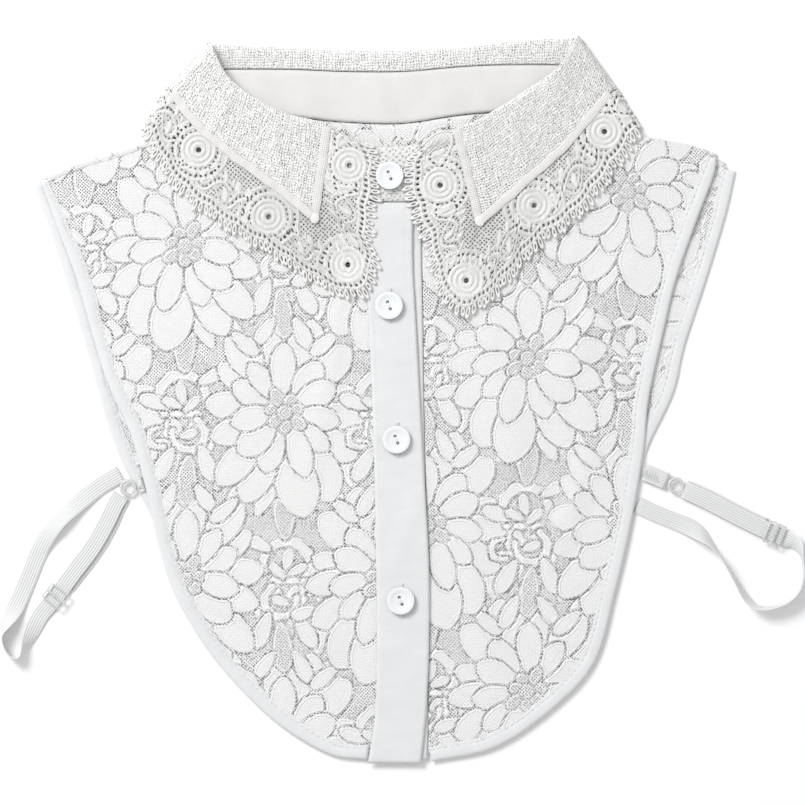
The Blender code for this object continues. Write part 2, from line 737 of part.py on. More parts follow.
def build_straps():
    for name, table in (
        ("strap_left", STRAP_LEFT),
        ("strap_left_return", STRAP_LEFT_RETURN),
        ("strap_right", STRAP_RIGHT),
        ("strap_right_return", STRAP_RIGHT_RETURN),
        ("strap_tab_left", STRAP_TAB_LEFT),
        ("strap_tab_right", STRAP_TAB_RIGHT),
    ):
        ribbon(name, table)
    for name, centre in RINGS.items():
        ring(name, centre)
    for name, centre in SLIDERS.items():
        slider(name, centre)


def button(name, centre):
    """A turned button with a raised rim and two holes."""
    x, y, z = centre
    base = z + GAP + (0.0 if z > PLACKET_Z + COTTON else lift(x, y))
    points, faces = [(x, y, base + BUTTON_PROFILE[0][1])], []
    rings = len(BUTTON_PROFILE)
    for radius, height in BUTTON_PROFILE:
        for side in range(BUTTON_SIDES):
            turn = 2.0 * math.pi * side / BUTTON_SIDES
            points.append((x + radius * math.cos(turn), y + radius * math.sin(turn), base + height))
    points.append((x, y, base))
    for side in range(BUTTON_SIDES):
        after = (side + 1) % BUTTON_SIDES
        faces.append((0, 1 + side, 1 + after))
        for ring_index in range(rings - 1):
            upper, lower = 1 + ring_index * BUTTON_SIDES, 1 + (ring_index + 1) * BUTTON_SIDES
            faces.append((upper + side, lower + side, lower + after, upper + after))
        last = 1 + (rings - 1) * BUTTON_SIDES
        faces.append((len(points) - 1, last + after, last + side))
    made = add_mesh(name, points, faces, "button", smooth=True)
    for sign in (-1, 1):
        bpy.ops.mesh.primitive_cylinder_add(
            vertices=HOLE_SIDES,
            radius=BUTTON_HOLE_RADIUS * METRE,
            depth=HOLE_DEPTH * METRE,
            location=(
                x * METRE - HOLE_LEAN * sign * BUTTON_HOLE_OFFSET * METRE,
                (y + sign * BUTTON_HOLE_OFFSET) * METRE,
                base * METRE,
            ),
        )
        cutter = bpy.context.object
        cutter.name = f"{name}_hole_cutter"
        cutter.hide_render = True
        cutter.display_type = "WIRE"
        cut = made.modifiers.new("thread hole", "BOOLEAN")
        cut.operation = "DIFFERENCE"
        cut.object = cutter
    return made


def build_buttons():
    for number, centre in enumerate(BUTTONS, 1):
        button(f"button_{number}", centre)


def main():
    clear_scene()
    build_panels()
    build_shoulder_seams()
    build_plackets()
    build_collar()
    build_straps()
    build_buttons()


main()
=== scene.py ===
# %% [markdown]
# # A lace collar on a detachable shirt front, laid flat
#
# The object is the top of a shirt without sleeves: a lace back, two lace fronts, a
# buttoned band, a collar with a lace edging and an elastic strap at each side. It is
# worn under a jumper. Here it lies on a table with its front up.
#
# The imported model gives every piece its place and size, so it is loaded first. Each
# piece of cloth below is a thin shell along the same lines, much finer, and it hides
# the plain solid that it stands for. Lengths in the tables are millimetres.

# %% The frame
import math

import bpy
import numpy as np
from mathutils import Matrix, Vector
from mathutils.geometry import delaunay_2d_cdt


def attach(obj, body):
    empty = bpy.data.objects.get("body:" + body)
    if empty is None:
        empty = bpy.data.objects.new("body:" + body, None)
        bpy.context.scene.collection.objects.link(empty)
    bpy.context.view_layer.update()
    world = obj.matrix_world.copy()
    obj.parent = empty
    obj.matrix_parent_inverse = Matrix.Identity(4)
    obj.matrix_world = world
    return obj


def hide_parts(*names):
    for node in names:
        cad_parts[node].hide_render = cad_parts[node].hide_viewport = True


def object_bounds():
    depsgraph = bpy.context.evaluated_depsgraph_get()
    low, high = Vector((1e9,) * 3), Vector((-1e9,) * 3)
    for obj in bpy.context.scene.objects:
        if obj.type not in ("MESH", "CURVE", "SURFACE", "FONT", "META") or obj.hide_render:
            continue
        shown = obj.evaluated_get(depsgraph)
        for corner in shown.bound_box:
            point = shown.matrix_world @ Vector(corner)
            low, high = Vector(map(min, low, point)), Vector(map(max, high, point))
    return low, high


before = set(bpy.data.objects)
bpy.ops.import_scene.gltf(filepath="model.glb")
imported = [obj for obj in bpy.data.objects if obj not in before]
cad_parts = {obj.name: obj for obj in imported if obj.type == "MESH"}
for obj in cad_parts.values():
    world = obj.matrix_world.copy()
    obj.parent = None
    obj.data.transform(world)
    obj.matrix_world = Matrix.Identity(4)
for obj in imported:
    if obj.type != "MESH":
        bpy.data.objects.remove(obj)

MM = 0.001
cad_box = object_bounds()
cad_size = [round(v / MM, 1) for v in cad_box[1] - cad_box[0]]
print("solids:", len(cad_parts), "box in mm:", cad_size)

# %% [markdown]
# ## The camera
#
# A flat garment is photographed from straight above, from far away, so that the near
# and far parts keep the same scale. A long lens three metres up does that. The camera
# looks down with the hem at the bottom of the picture.

# %% Camera
VIEW_WIDTH = 386.4
VIEW_CENTRE = (0.0, -1.3)
EYE_HEIGHT = 3000.0

bpy.ops.object.camera_add(
    location=(VIEW_CENTRE[0] * MM, VIEW_CENTRE[1] * MM, EYE_HEIGHT * MM), rotation=(0.0, 0.0, 0.0)
)
camera = bpy.context.object
camera.data.sensor_width = 36.0
camera.data.lens = camera.data.sensor_width * EYE_HEIGHT / VIEW_WIDTH
bpy.context.scene.camera = camera
print("lens in mm:", round(camera.data.lens))

# %% [markdown]
# ## Smooth lines and cloth
#
# A dressmaker thinks in lines: an edge, a seam, a fold. Each line is a short table
# whose rows are read as one smooth curve. Cloth is a grid of points between such
# lines. It gets a thickness, half to each side, which thins towards the rim as a
# turned edge does. The grid's own lengths, along and across, are stored as a UV map in
# millimetres, so that a weave can follow the cloth.

# %% Lines
def smooth_line(rows, step, gauge=None):
    """Rows of numbers at even steps along a smooth curve through the given rows."""
    table = np.array(rows, float)
    table = np.vstack([2.0 * table[0] - table[1], table, 2.0 * table[-1] - table[-2]])
    t = np.linspace(0.0, 1.0, 24, endpoint=False)[:, None]
    dense = [
        0.5 * (2.0 * b + (c - a) * t)
        + 0.5 * ((2.0 * a - 5.0 * b + 4.0 * c - d) * t**2 + (3.0 * b - a - 3.0 * c + d) * t**3)
        for a, b, c, d in zip(table, table[1:], table[2:], table[3:])
    ]
    dense = np.vstack([*dense, table[-2:-1]])
    measured = dense if gauge is None else dense[:, gauge]
    length = np.concatenate([[0.0], np.cumsum(np.linalg.norm(np.diff(measured, axis=0), axis=1))])
    even = np.linspace(0.0, length[-1], max(3, round(length[-1] / step) + 1))
    return np.column_stack([np.interp(even, length, column) for column in dense.T])


def sideways(line):
    """Unit vectors in the plan, to the left of a line."""
    ahead = np.gradient(line[:, :2], axis=0)
    ahead /= np.linalg.norm(ahead, axis=1)[:, None]
    return np.column_stack([-ahead[:, 1], ahead[:, 0]])


def smoothstep(value):
    held = np.clip(value, 0.0, 1.0)
    return held * held * (3.0 - 2.0 * held)


def ripple(along, seed, wave):
    """An uneven wave of height about 1, never repeating over a garment's length."""
    parts = ((1.0, 1.0, 0.0), (1.63, 0.6, 1.9), (0.41, 0.8, 4.1), (2.7, 0.35, 2.2))
    turns = 2.0 * np.pi * along / wave
    return sum(size * np.sin(turns * rate + shift + seed) for rate, size, shift in parts) / 1.6


# %% Cloth
# A fine piece is called after the solid that it stands for, with this before it.
FINE = "fine_"


def store_mesh(name, points, faces, finish, uv=None, values=None):
    """Makes a piece from points in millimetres, with a UV map and named values."""
    name = FINE + name
    mesh = bpy.data.meshes.new(name)
    mesh.from_pydata((np.asarray(points) * MM).tolist(), [], [tuple(face) for face in faces])
    mesh.shade_smooth()
    if uv is not None:
        layer = mesh.uv_layers.new(name="cloth")
        corners = np.zeros(len(mesh.loops), np.int32)
        mesh.loops.foreach_get("vertex_index", corners)
        layer.data.foreach_set("uv", np.asarray(uv, np.float32)[corners].ravel())
    for label, numbers in (values or {}).items():
        stored = mesh.attributes.new(label, "FLOAT", "POINT")
        stored.data.foreach_set("value", np.asarray(numbers, np.float32))
    mesh.materials.append(finish)
    piece = bpy.data.objects.new(name, mesh)
    bpy.context.scene.collection.objects.link(piece)
    return piece


def grid_faces(count, width):
    """Quads of a grid of count rows, each width points wide, facing along x across."""
    first = (np.arange(count - 1)[:, None] * width + np.arange(width - 1)).ravel()
    return np.column_stack([first, first + width, first + width + 1, first + 1])


def rim_of(count, width):
    """The points round the edge of a grid, in order."""
    rim = list(range(width))
    rim += [i * width + width - 1 for i in range(1, count)]
    rim += [(count - 1) * width + j for j in range(width - 2, -1, -1)]
    rim += [i * width for i in range(count - 2, 0, -1)]
    return rim


def cloth(name, grid, thickness, finish, values=None, rim=0.3, round_width=0.8):
    """A closed shell of cloth along a grid of points (rows, columns, xyz)."""
    count, width = grid.shape[:2]
    normal = np.cross(np.gradient(grid, axis=0), np.gradient(grid, axis=1))
    normal /= np.maximum(np.linalg.norm(normal, axis=2), 1e-9)[:, :, None]
    along = np.zeros((count, width))
    along[1:] = np.cumsum(np.linalg.norm(np.diff(grid, axis=0), axis=2), axis=0)
    along[:] = along.mean(axis=1)[:, None]
    across = np.zeros((count, width))
    across[:, 1:] = np.cumsum(np.linalg.norm(np.diff(grid, axis=1), axis=2), axis=1)
    ends = np.minimum(along, along[-1:] - along)
    sides = np.minimum(across, across[:, -1:] - across)
    near = np.clip(np.minimum(ends, sides) / round_width, 0.0, 1.0)
    half = (thickness / 2.0 * (rim + (1.0 - rim) * np.sqrt(near * (2.0 - near))))[:, :, None]
    top, bottom = grid + normal * half, grid - normal * half
    under = count * width
    faces = grid_faces(count, width)
    edge = rim_of(count, width)
    walls = [(a, b, b + under, a + under) for a, b in zip(edge, edge[1:] + edge[:1])]
    uv = np.dstack([along, across]).reshape(-1, 2)
    doubled = {label: np.tile(numbers.ravel(), 2) for label, numbers in (values or {}).items()}
    piece = store_mesh(
        name,
        np.vstack([top.reshape(-1, 3), bottom.reshape(-1, 3)]),
        [*faces.tolist(), *(faces[:, ::-1] + under).tolist(), *walls],
        finish,
        np.vstack([uv, uv]),
        doubled,
    )
    size = along[-1, 0], across[:, -1].mean()
    print(f"{name}: {size[0]:.0f} x {size[1]:.1f} mm, {len(piece.data.polygons)} faces")
    return piece


def place(piece, slot, *nodes):
    """Fixes a piece to the garment and hides the solids it stands for; its slot is not used."""
    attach(piece, "root")
    if nodes:
        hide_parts(*nodes)
    return piece


# %% [markdown]
# ## Finishes, and what they share
#
# White things need texture more than colour. Two effects come back in several
# finishes, so each is a node group: a net of small staggered holes, and the fine
# threads of a weave. The groups only put out values. The shader, with its uniform
# numbers set on its own sockets, stays in each material. All patterns are in
# millimetres.

# %% Node helpers
def add_node(tree, kind, links=(), **settings):
    """Adds a node, with settings, and links or values for its inputs."""
    made = tree.nodes.new(kind)
    for key, value in settings.items():
        setattr(made, key, value)
    for key, value in dict(links).items():
        if isinstance(value, bpy.types.NodeSocket):
            tree.links.new(value, made.inputs[key])
        else:
            made.inputs[key].default_value = value
    return made


def calc(tree, operation, first, second=0.0, third=0.0):
    links = {0: first, 1: second, 2: third}
    return add_node(tree, "ShaderNodeMath", links, operation=operation).outputs[0]


def vector_calc(tree, operation, first, second, third=(0.0, 0.0, 0.0)):
    links = {0: first, 1: second, 2: third}
    return add_node(tree, "ShaderNodeVectorMath", links, operation=operation).outputs[0]


def noise(tree, at, scale, detail, output="Fac"):
    """Soft uneven noise at a scale in waves per millimetre."""
    links = {"Vector": at, "Scale": scale, "Detail": detail}
    return add_node(tree, "ShaderNodeTexNoise", links).outputs[output]


def ramp(tree, value, low, high, start=0.0, end=1.0):
    """A soft step: start where the value is under low, end where it is over high."""
    links = {"Value": value, "From Min": low, "From Max": high, "To Min": start, "To Max": end}
    return add_node(tree, "ShaderNodeMapRange", links, interpolation_type="SMOOTHSTEP").outputs[0]


def millimetres(tree, source):
    """A pattern's coordinates in millimetres, from the object or from the cloth's UV map."""
    found = add_node(tree, "ShaderNodeTexCoord").outputs["UV" if source == "cloth" else "Object"]
    scale = 1.0 if source == "cloth" else 1.0 / MM
    links = {0: found, "Scale": scale}
    return add_node(tree, "ShaderNodeVectorMath", links, operation="SCALE").outputs[0]


def new_group(name, inputs, outputs):
    """An empty node group with named sockets, and its two end nodes."""
    tree = bpy.data.node_groups.new(name, "ShaderNodeTree")
    for socket, kind, value in inputs:
        made = tree.interface.new_socket(socket, in_out="INPUT", socket_type=kind)
        if value is not None:
            made.default_value = value
    for socket in outputs:
        tree.interface.new_socket(socket, in_out="OUTPUT", socket_type="NodeSocketFloat")
    return tree, tree.nodes.new("NodeGroupInput"), tree.nodes.new("NodeGroupOutput")


def use_group(tree, group, links):
    return add_node(tree, "ShaderNodeGroup", links, node_tree=group).outputs


def new_material(name, colour, roughness, sheen=0.0):
    """A material with its shader, and a plain colour until a pattern is linked."""
    made = bpy.data.materials.new(name)
    made.use_nodes = True
    shader = made.node_tree.nodes["Principled BSDF"]
    shader.inputs["Base Color"].default_value = (*colour, 1.0)
    shader.inputs["Roughness"].default_value = roughness
    shader.inputs["Sheen Weight"].default_value = sheen
    return made, made.node_tree, shader


def tint(tree, shader, value, dark, light):
    """Colours the shader between two tones by a value."""
    links = {"Factor": value, 6: (*dark, 1.0), 7: (*light, 1.0)}
    mixed = add_node(tree, "ShaderNodeMix", links, data_type="RGBA")
    tree.links.new(mixed.outputs[2], shader.inputs["Base Color"])


def emboss(tree, shader, height, depth):
    """Raises the surface by a pattern, depth in millimetres."""
    links = {"Height": height, "Distance": depth * MM, "Strength": 1.0}
    bumped = add_node(tree, "ShaderNodeBump", links)
    tree.links.new(bumped.outputs["Normal"], shader.inputs["Normal"])


# %% The net and the weave
net_group, net_in, net_out = new_group(
    "net of holes",
    [
        ("Vector", "NodeSocketVector", None),
        ("Pitch", "NodeSocketFloat", 1.4),
        ("Unevenness", "NodeSocketFloat", 0.2),
    ],
    ["From Hole"],
)
net_scale = calc(net_group, "DIVIDE", 1.0, net_in.outputs["Pitch"])
NET_TURN = (0.0, 0.0, math.radians(41.0))
net_turn = add_node(
    net_group, "ShaderNodeMapping", {"Vector": net_in.outputs["Vector"], "Rotation": NET_TURN}
)
net_cells = add_node(
    net_group,
    "ShaderNodeTexVoronoi",
    {"Vector": net_turn.outputs[0], "Scale": net_scale, "Randomness": net_in.outputs["Unevenness"]},
    voronoi_dimensions="2D",
)
net_reach = calc(net_group, "MULTIPLY", net_cells.outputs["Distance"], net_in.outputs["Pitch"])
net_group.links.new(net_reach, net_out.inputs["From Hole"])

weave_group, weave_in, weave_out = new_group(
    "woven threads",
    [
        ("Vector", "NodeSocketVector", None),
        ("Pitch", "NodeSocketFloat", 0.6),
        ("Slub", "NodeSocketFloat", 0.4),
    ],
    ["Height", "Warp", "Weft"],
)
weave_at, slub_by = weave_in.outputs["Vector"], weave_in.outputs["Slub"]
weave_drift = noise(weave_group, weave_at, 0.35, 2.0, "Color")
weave_shift = vector_calc(weave_group, "SUBTRACT", weave_drift, (0.5, 0.5, 0.5))
weave_slub = add_node(
    weave_group, "ShaderNodeVectorMath", {0: weave_shift, "Scale": slub_by}, operation="SCALE"
).outputs[0]
weave_place = vector_calc(weave_group, "ADD", weave_at, weave_slub)
weave_parts = add_node(weave_group, "ShaderNodeSeparateXYZ", {0: weave_place})
weave_rate = calc(weave_group, "DIVIDE", 2.0 * math.pi, weave_in.outputs["Pitch"])
weave_waves = []
for axis in ("X", "Y"):
    turn = calc(weave_group, "MULTIPLY", weave_parts.outputs[axis], weave_rate)
    wave = calc(weave_group, "SINE", turn)
    weave_waves.append(calc(weave_group, "MULTIPLY_ADD", wave, 0.5, 0.5))
weave_sum = calc(weave_group, "ADD", *weave_waves)
weave_group.links.new(calc(weave_group, "MULTIPLY", weave_sum, 0.5), weave_out.inputs["Height"])
weave_group.links.new(weave_waves[0], weave_out.inputs["Warp"])
weave_group.links.new(weave_waves[1], weave_out.inputs["Weft"])
print("shared effects:", net_group.name, "and", weave_group.name)
# %% [markdown]
# ## The floral lace
#
# Machine lace is a net whose flowers are filled in with close thread. A bright cord
# runs round each petal, and just outside it the net is pulled open, which reads as a
# row of dark dots. The petals are drawn later as a value stored on the cloth: the
# distance in millimetres to the nearest petal's edge, positive inside. Here the shader
# turns that distance into open net, pulled holes, cord and filled cloth. The holes are
# real transparency, so the layers below show through and cast their own shade. On top
# of that the thread is painted darker round each hole, as painted shade.

# %% Lace finish
LACE_PITCH = 1.15
HOLE = {"net": 0.345, "edge": 0.51, "stipple": 0.31}


def net_at(tree, at, pitch, unevenness):
    net_links = {"Vector": at, "Pitch": pitch, "Unevenness": unevenness}
    return use_group(tree, net_group, net_links)["From Hole"]


def lace_finish(name, colour, shade):
    made, tree, shader = new_material(name, colour, 0.85, 0.25)
    place_mm = millimetres(tree, "object")
    edge = add_node(tree, "ShaderNodeAttribute", attribute_name="petal").outputs["Fac"]
    stipple = add_node(tree, "ShaderNodeAttribute", attribute_name="stipple").outputs["Fac"]
    net = net_at(tree, place_mm, LACE_PITCH, 0.28)
    drawn = noise(tree, place_mm, 0.11, 2.0)
    broken = noise(tree, place_mm, 0.34, 1.0)
    opened = HOLE["edge"] - HOLE["net"]
    pull = ramp(tree, broken, 0.36, 0.62, opened - 0.12, opened + 0.06)
    pulled = calc(tree, "MULTIPLY", ramp(tree, edge, -1.5, -0.9), pull)
    plain = ramp(tree, drawn, 0.35, 0.68, HOLE["net"] - 0.07, HOLE["net"] + 0.05)
    outside = calc(tree, "ADD", pulled, plain)
    inside = calc(tree, "MULTIPLY", stipple, HOLE["stipple"])
    outside = calc(tree, "MULTIPLY", outside, ramp(tree, edge, 0.0, -0.22))
    reach = calc(tree, "MAXIMUM", outside, inside)
    short = calc(tree, "SUBTRACT", net, reach)
    tree.links.new(ramp(tree, short, -0.06, 0.06), shader.inputs["Alpha"])
    thread = use_group(
        tree, weave_group, {"Vector": place_mm, "Pitch": 0.72, "Slub": 0.8}
    )["Height"]
    cord = calc(tree, "MULTIPLY", ramp(tree, edge, 0.0, 0.35), ramp(tree, edge, 1.15, 0.75))
    # The thread is painted darker towards the middle of each net cell, where the holes open:
    # painted shade round the holes. The same value also raises the thread in the bump.
    net_rise_and_hole_shade = ramp(tree, net, 0.12, 0.55, 0.35, 1.0)
    tone = calc(tree, "MULTIPLY_ADD", thread, 0.35, calc(tree, "MULTIPLY", net_rise_and_hole_shade, 0.5))
    tone = calc(tree, "MAXIMUM", tone, cord)
    tint(tree, shader, tone, shade, colour)
    height = calc(tree, "MULTIPLY_ADD", cord, 1.3, calc(tree, "MULTIPLY_ADD", thread, 0.35, net_rise_and_hole_shade))
    emboss(tree, shader, height, 0.22)
    return made


lace = lace_finish("floral lace", (0.905, 0.905, 0.90), (0.69, 0.695, 0.69))
print("lace pitch in mm:", LACE_PITCH)

# %% [markdown]
# ## Cotton, gauze, braid, elastic and plastic
#
# The band and the bindings are plain cotton, almost smooth, with a fine weave. The
# collar is an open crinkled gauze whose threads run unevenly, so small slits show
# between them. The edging is a guipure: thick cords with open eyelets. The elastic is
# ribbed lengthwise. Buttons are glossy, the rings and sliders clear and a little
# milky.

# %% Cotton finish
def cotton_finish(name, colour, shade, pitch=0.55, depth=0.08):
    made, tree, shader = new_material(name, colour, 0.8, 0.3)
    place_mm = millimetres(tree, "cloth")
    weave = use_group(
        tree, weave_group, {"Vector": place_mm, "Pitch": pitch, "Slub": 0.5}
    )["Height"]
    cloud = noise(tree, place_mm, 0.09, 3.0)
    tone = calc(tree, "MULTIPLY_ADD", cloud, 0.8, calc(tree, "MULTIPLY", weave, 0.35))
    tint(tree, shader, tone, shade, colour)
    emboss(tree, shader, weave, depth)
    return made


cotton = cotton_finish("plain cotton", (0.80, 0.807, 0.815), (0.70, 0.708, 0.716))
band_cotton = cotton_finish("stand cotton", (0.80, 0.795, 0.79), (0.66, 0.65, 0.64))
tape_cotton = cotton_finish("tape", (0.86, 0.85, 0.835), (0.74, 0.73, 0.715), 0.9, 0.3)


# %% Thread finish
def thread_finish(name, colour):
    made, tree, shader = new_material(name, colour, 0.65, 0.2)
    place_mm = millimetres(tree, "object")
    twist = add_node(
        tree,
        "ShaderNodeTexWave",
        {"Vector": place_mm, "Scale": 0.9, "Distortion": 1.0},
        bands_direction="DIAGONAL",
    ).outputs["Fac"]
    tint(tree, shader, twist, tuple(0.88 * value for value in colour), colour)
    emboss(tree, shader, twist, 0.08)
    return made


thread = thread_finish("sewing thread", (0.88, 0.885, 0.89))
loop_thread = thread_finish("edging thread", (0.94, 0.93, 0.92))


# %% Gauze finish
def gauze_finish():
    colour, shade = (0.93, 0.925, 0.91), (0.755, 0.75, 0.735)
    made, tree, shader = new_material("crinkled gauze", colour, 0.85, 0.2)
    place_mm = millimetres(tree, "cloth")
    sway = noise(tree, place_mm, 0.3, 2.0, "Color")
    swayed = vector_calc(tree, "MULTIPLY_ADD", sway, (1.7, 1.7, 0.0), place_mm)
    weave = use_group(tree, weave_group, {"Vector": swayed, "Pitch": 1.3, "Slub": 2.2})
    stretch_links = {"Vector": place_mm, "Scale": (0.95, 0.28, 1.0)}
    stretch = add_node(tree, "ShaderNodeMapping", stretch_links).outputs[0]
    slub = noise(tree, stretch, 0.8, 2.0)
    gap = calc(tree, "MAXIMUM", weave["Warp"], weave["Weft"])
    opened = calc(tree, "ADD", gap, calc(tree, "MULTIPLY", slub, 0.75))
    tree.links.new(ramp(tree, opened, 0.45, 0.57), shader.inputs["Alpha"])
    weave_tone = calc(tree, "MULTIPLY_ADD", weave["Height"], 0.6, -0.15)
    tone = calc(tree, "MULTIPLY_ADD", slub, 1.1, weave_tone)
    tint(tree, shader, tone, shade, colour)
    emboss(tree, shader, calc(tree, "MULTIPLY_ADD", slub, 1.6, weave["Height"]), 0.5)
    return made


gauze = gauze_finish()


# %% Guipure finish
def guipure_finish():
    colour, shade = (0.97, 0.965, 0.95), (0.79, 0.785, 0.77)
    made, tree, shader = new_material("guipure braid", colour, 0.8, 0.2)
    place_mm = millimetres(tree, "cloth")
    solid = add_node(tree, "ShaderNodeAttribute", attribute_name="braid").outputs["Fac"]
    eyelet = add_node(tree, "ShaderNodeAttribute", attribute_name="eyelet").outputs["Fac"]
    ground_mm = millimetres(tree, "object")
    net = net_at(tree, ground_mm, 1.6, 0.3)
    reach = calc(tree, "MULTIPLY", ramp(tree, solid, 0.05, -0.35), 0.43)
    closed = ramp(tree, calc(tree, "SUBTRACT", net, reach), -0.06, 0.06)
    whole = calc(tree, "MULTIPLY", closed, ramp(tree, eyelet, 0.08, -0.08))
    tree.links.new(whole, shader.inputs["Alpha"])
    stitch = use_group(tree, weave_group, {"Vector": place_mm, "Pitch": 0.6, "Slub": 1.6})["Height"]
    # Where the braid value is low the tone is darker. In the rosettes that value follows the rings,
    # so the grooves between them are painted darker, as painted shade.
    cord = ramp(tree, solid, 0.0, 0.6)
    tone = calc(tree, "MULTIPLY_ADD", cord, 0.7, calc(tree, "MULTIPLY", stitch, 0.4))
    tint(tree, shader, tone, shade, colour)
    emboss(tree, shader, calc(tree, "MULTIPLY_ADD", cord, 1.5, stitch), 0.28)
    return made


guipure = guipure_finish()


# %% Eyelet lace, the outer face of the stand
def eyelet_lace_finish():
    colour, shade = (0.90, 0.895, 0.885), (0.78, 0.775, 0.76)
    made, tree, shader = new_material("eyelet lace", colour, 0.85, 0.2)
    place_mm = millimetres(tree, "cloth")
    net = net_at(tree, place_mm, 2.1, 0.35)
    stitch = use_group(tree, weave_group, {"Vector": place_mm, "Pitch": 0.7, "Slub": 1.2})["Height"]
    tree.links.new(ramp(tree, net, 0.20, 0.30, 0.3, 1.0), shader.inputs["Alpha"])
    # The cloth is painted darker towards each eyelet, as painted shade; the same value also lowers
    # the cloth there in the bump.
    rise = ramp(tree, net, 0.3, 0.8)
    tone = calc(tree, "MULTIPLY_ADD", rise, 0.6, calc(tree, "MULTIPLY", stitch, 0.4))
    tint(tree, shader, tone, shade, colour)
    emboss(tree, shader, calc(tree, "MULTIPLY_ADD", rise, 1.5, stitch), 0.25)
    return made


eyelet_lace = eyelet_lace_finish()


# %% Elastic finish
def elastic_finish():
    colour, shade = (0.86, 0.87, 0.865), (0.68, 0.69, 0.685)
    made, tree, shader = new_material("ribbed elastic", colour, 0.6, 0.15)
    place_mm = millimetres(tree, "cloth")
    parts = add_node(tree, "ShaderNodeSeparateXYZ", {0: place_mm})
    ribs = calc(tree, "SINE", calc(tree, "MULTIPLY", parts.outputs["Y"], 2.0 * math.pi / 1.17))
    picks = calc(tree, "SINE", calc(tree, "MULTIPLY", parts.outputs["X"], 2.0 * math.pi / 0.75))
    height = calc(tree, "MULTIPLY_ADD", ribs, 0.35, calc(tree, "MULTIPLY_ADD", picks, 0.15, 0.5))
    tint(tree, shader, height, shade, colour)
    emboss(tree, shader, height, 0.3)
    return made


elastic = elastic_finish()


# %% Plastic finishes
def plastic_finish(name, colour, shade, roughness, coat, transmission=0.0):
    made, tree, shader = new_material(name, colour, roughness)
    shader.inputs["Coat Weight"].default_value = coat
    shader.inputs["Coat Roughness"].default_value = 0.08
    shader.inputs["Transmission Weight"].default_value = transmission
    place_mm = millimetres(tree, "object")
    cloud = noise(tree, place_mm, 0.25, 2.0)
    fine = noise(tree, place_mm, 2.5, 1.0)
    tint(tree, shader, cloud, shade, colour)
    emboss(tree, shader, fine, 0.01)
    return made


button_plastic = plastic_finish(
    "button plastic", (0.86, 0.885, 0.90), (0.82, 0.845, 0.865), 0.22, 0.6
)
clear_plastic = plastic_finish(
    "clear plastic", (0.87, 0.88, 0.87), (0.80, 0.815, 0.80), 0.18, 0.3, 0.45
)
print("finishes:", len(bpy.data.materials))
# %% [markdown]
# ## The elastic straps
#
# Each strap is one length of 8 mm elastic. It leaves its ring at the side of the body,
# runs out, turns on its edge in a loose loop and comes back to the other edge of the
# body, with one end doubled through a slider. A ribbon is fully described by its centre
# line, the height of its lowest edge and its tilt, where 90 degrees stands it on edge.
# The rows are given one by one. The cross-section is a flat oval.

# %% Straps
STRAP_WIDTH = 8.2
STRAP_THICK = 0.9
# x, y, height of the lowest edge, tilt in degrees.
STRAP_ROUTES = {
    "strap_left": (
        (-135.0, -35.6, 0.0, 0.0),
        (-145.2, -41.6, 0.0, 0.0),
        (-155.5, -49.6, 0.0, 12.0),
        (-164.2, -57.7, 0.0, 30.0),
        (-171.0, -66.5, 0.0, 12.0),
        (-175.4, -75.5, 0.0, 0.0),
        (-180.4, -88.0, 0.0, 0.0),
        (-185.6, -99.5, 0.0, 10.0),
        (-190.0, -107.0, 0.0, 48.0),
        (-192.0, -113.0, 0.0, 85.0),
        (-190.8, -119.0, 0.0, 90.0),
        (-187.4, -123.6, 0.0, 90.0),
        (-183.8, -123.6, 0.0, 90.0),
        (-181.2, -119.0, 0.0, 70.0),
        (-178.2, -111.6, 0.0, 22.0),
        (-173.8, -103.2, 0.4, 0.0),
        (-166.3, -94.2, 0.9, 0.0),
        (-158.2, -83.1, 1.45, 0.0),
        (-148.6, -70.2, 1.45, 0.0),
        (-142.3, -59.1, 1.45, 0.0),
        (-138.2, -50.6, 1.45, 0.0),
        (-135.2, -45.6, 1.45, 0.0),
    ),
    "strap_left_return": (
        (-134.3, -46.2, 0.0, 0.0),
        (-137.0, -51.2, 0.0, 0.0),
        (-140.8, -60.0, 0.0, 0.0),
        (-147.2, -71.2, 0.0, 0.0),
        (-157.0, -84.2, 0.0, 0.0),
        (-161.0, -89.2, 0.0, 0.0),
    ),
    "strap_right": (
        (135.0, -43.2, 1.45, 0.0),
        (146.2, -48.4, 1.45, 0.0),
        (162.0, -56.6, 1.45, 0.0),
        (175.4, -63.0, 1.45, 0.0),
        (183.2, -66.2, 1.45, 0.0),
        (188.4, -68.8, 0.0, 40.0),
        (191.4, -75.0, 0.0, 84.0),
        (192.4, -83.4, 0.0, 90.0),
        (190.2, -91.8, 0.0, 90.0),
        (183.6, -97.8, 0.0, 88.0),
        (172.5, -100.0, 0.0, 78.0),
        (165.6, -96.0, 0.0, 66.0),
        (159.0, -85.4, 0.0, 76.0),
        (152.6, -75.6, 0.0, 88.0),
        (147.2, -68.4, 0.0, 66.0),
        (140.2, -62.4, 0.0, 18.0),
        (130.8, -58.4, 0.0, 0.0),
        (121.2, -54.6, 0.0, 0.0),
        (112.6, -50.4, 0.0, 0.0),
    ),
    "strap_right_return": (
        (135.6, -42.0, 0.0, 0.0),
        (146.6, -46.9, 0.0, 0.0),
        (162.6, -55.2, 0.0, 0.0),
        (174.0, -60.7, 0.0, 0.0),
    ),
    "strap_tab_left": ((-124.5, -40.1, 1.6, 0.0), (-127.2, -41.0, 1.6, 0.0)),
    "strap_tab_right": (
        (116.0, -34.6, 1.6, 0.0), (121.5, -36.8, 1.6, 0.0), (126.9, -39.2, 1.6, 0.0)
    ),
}


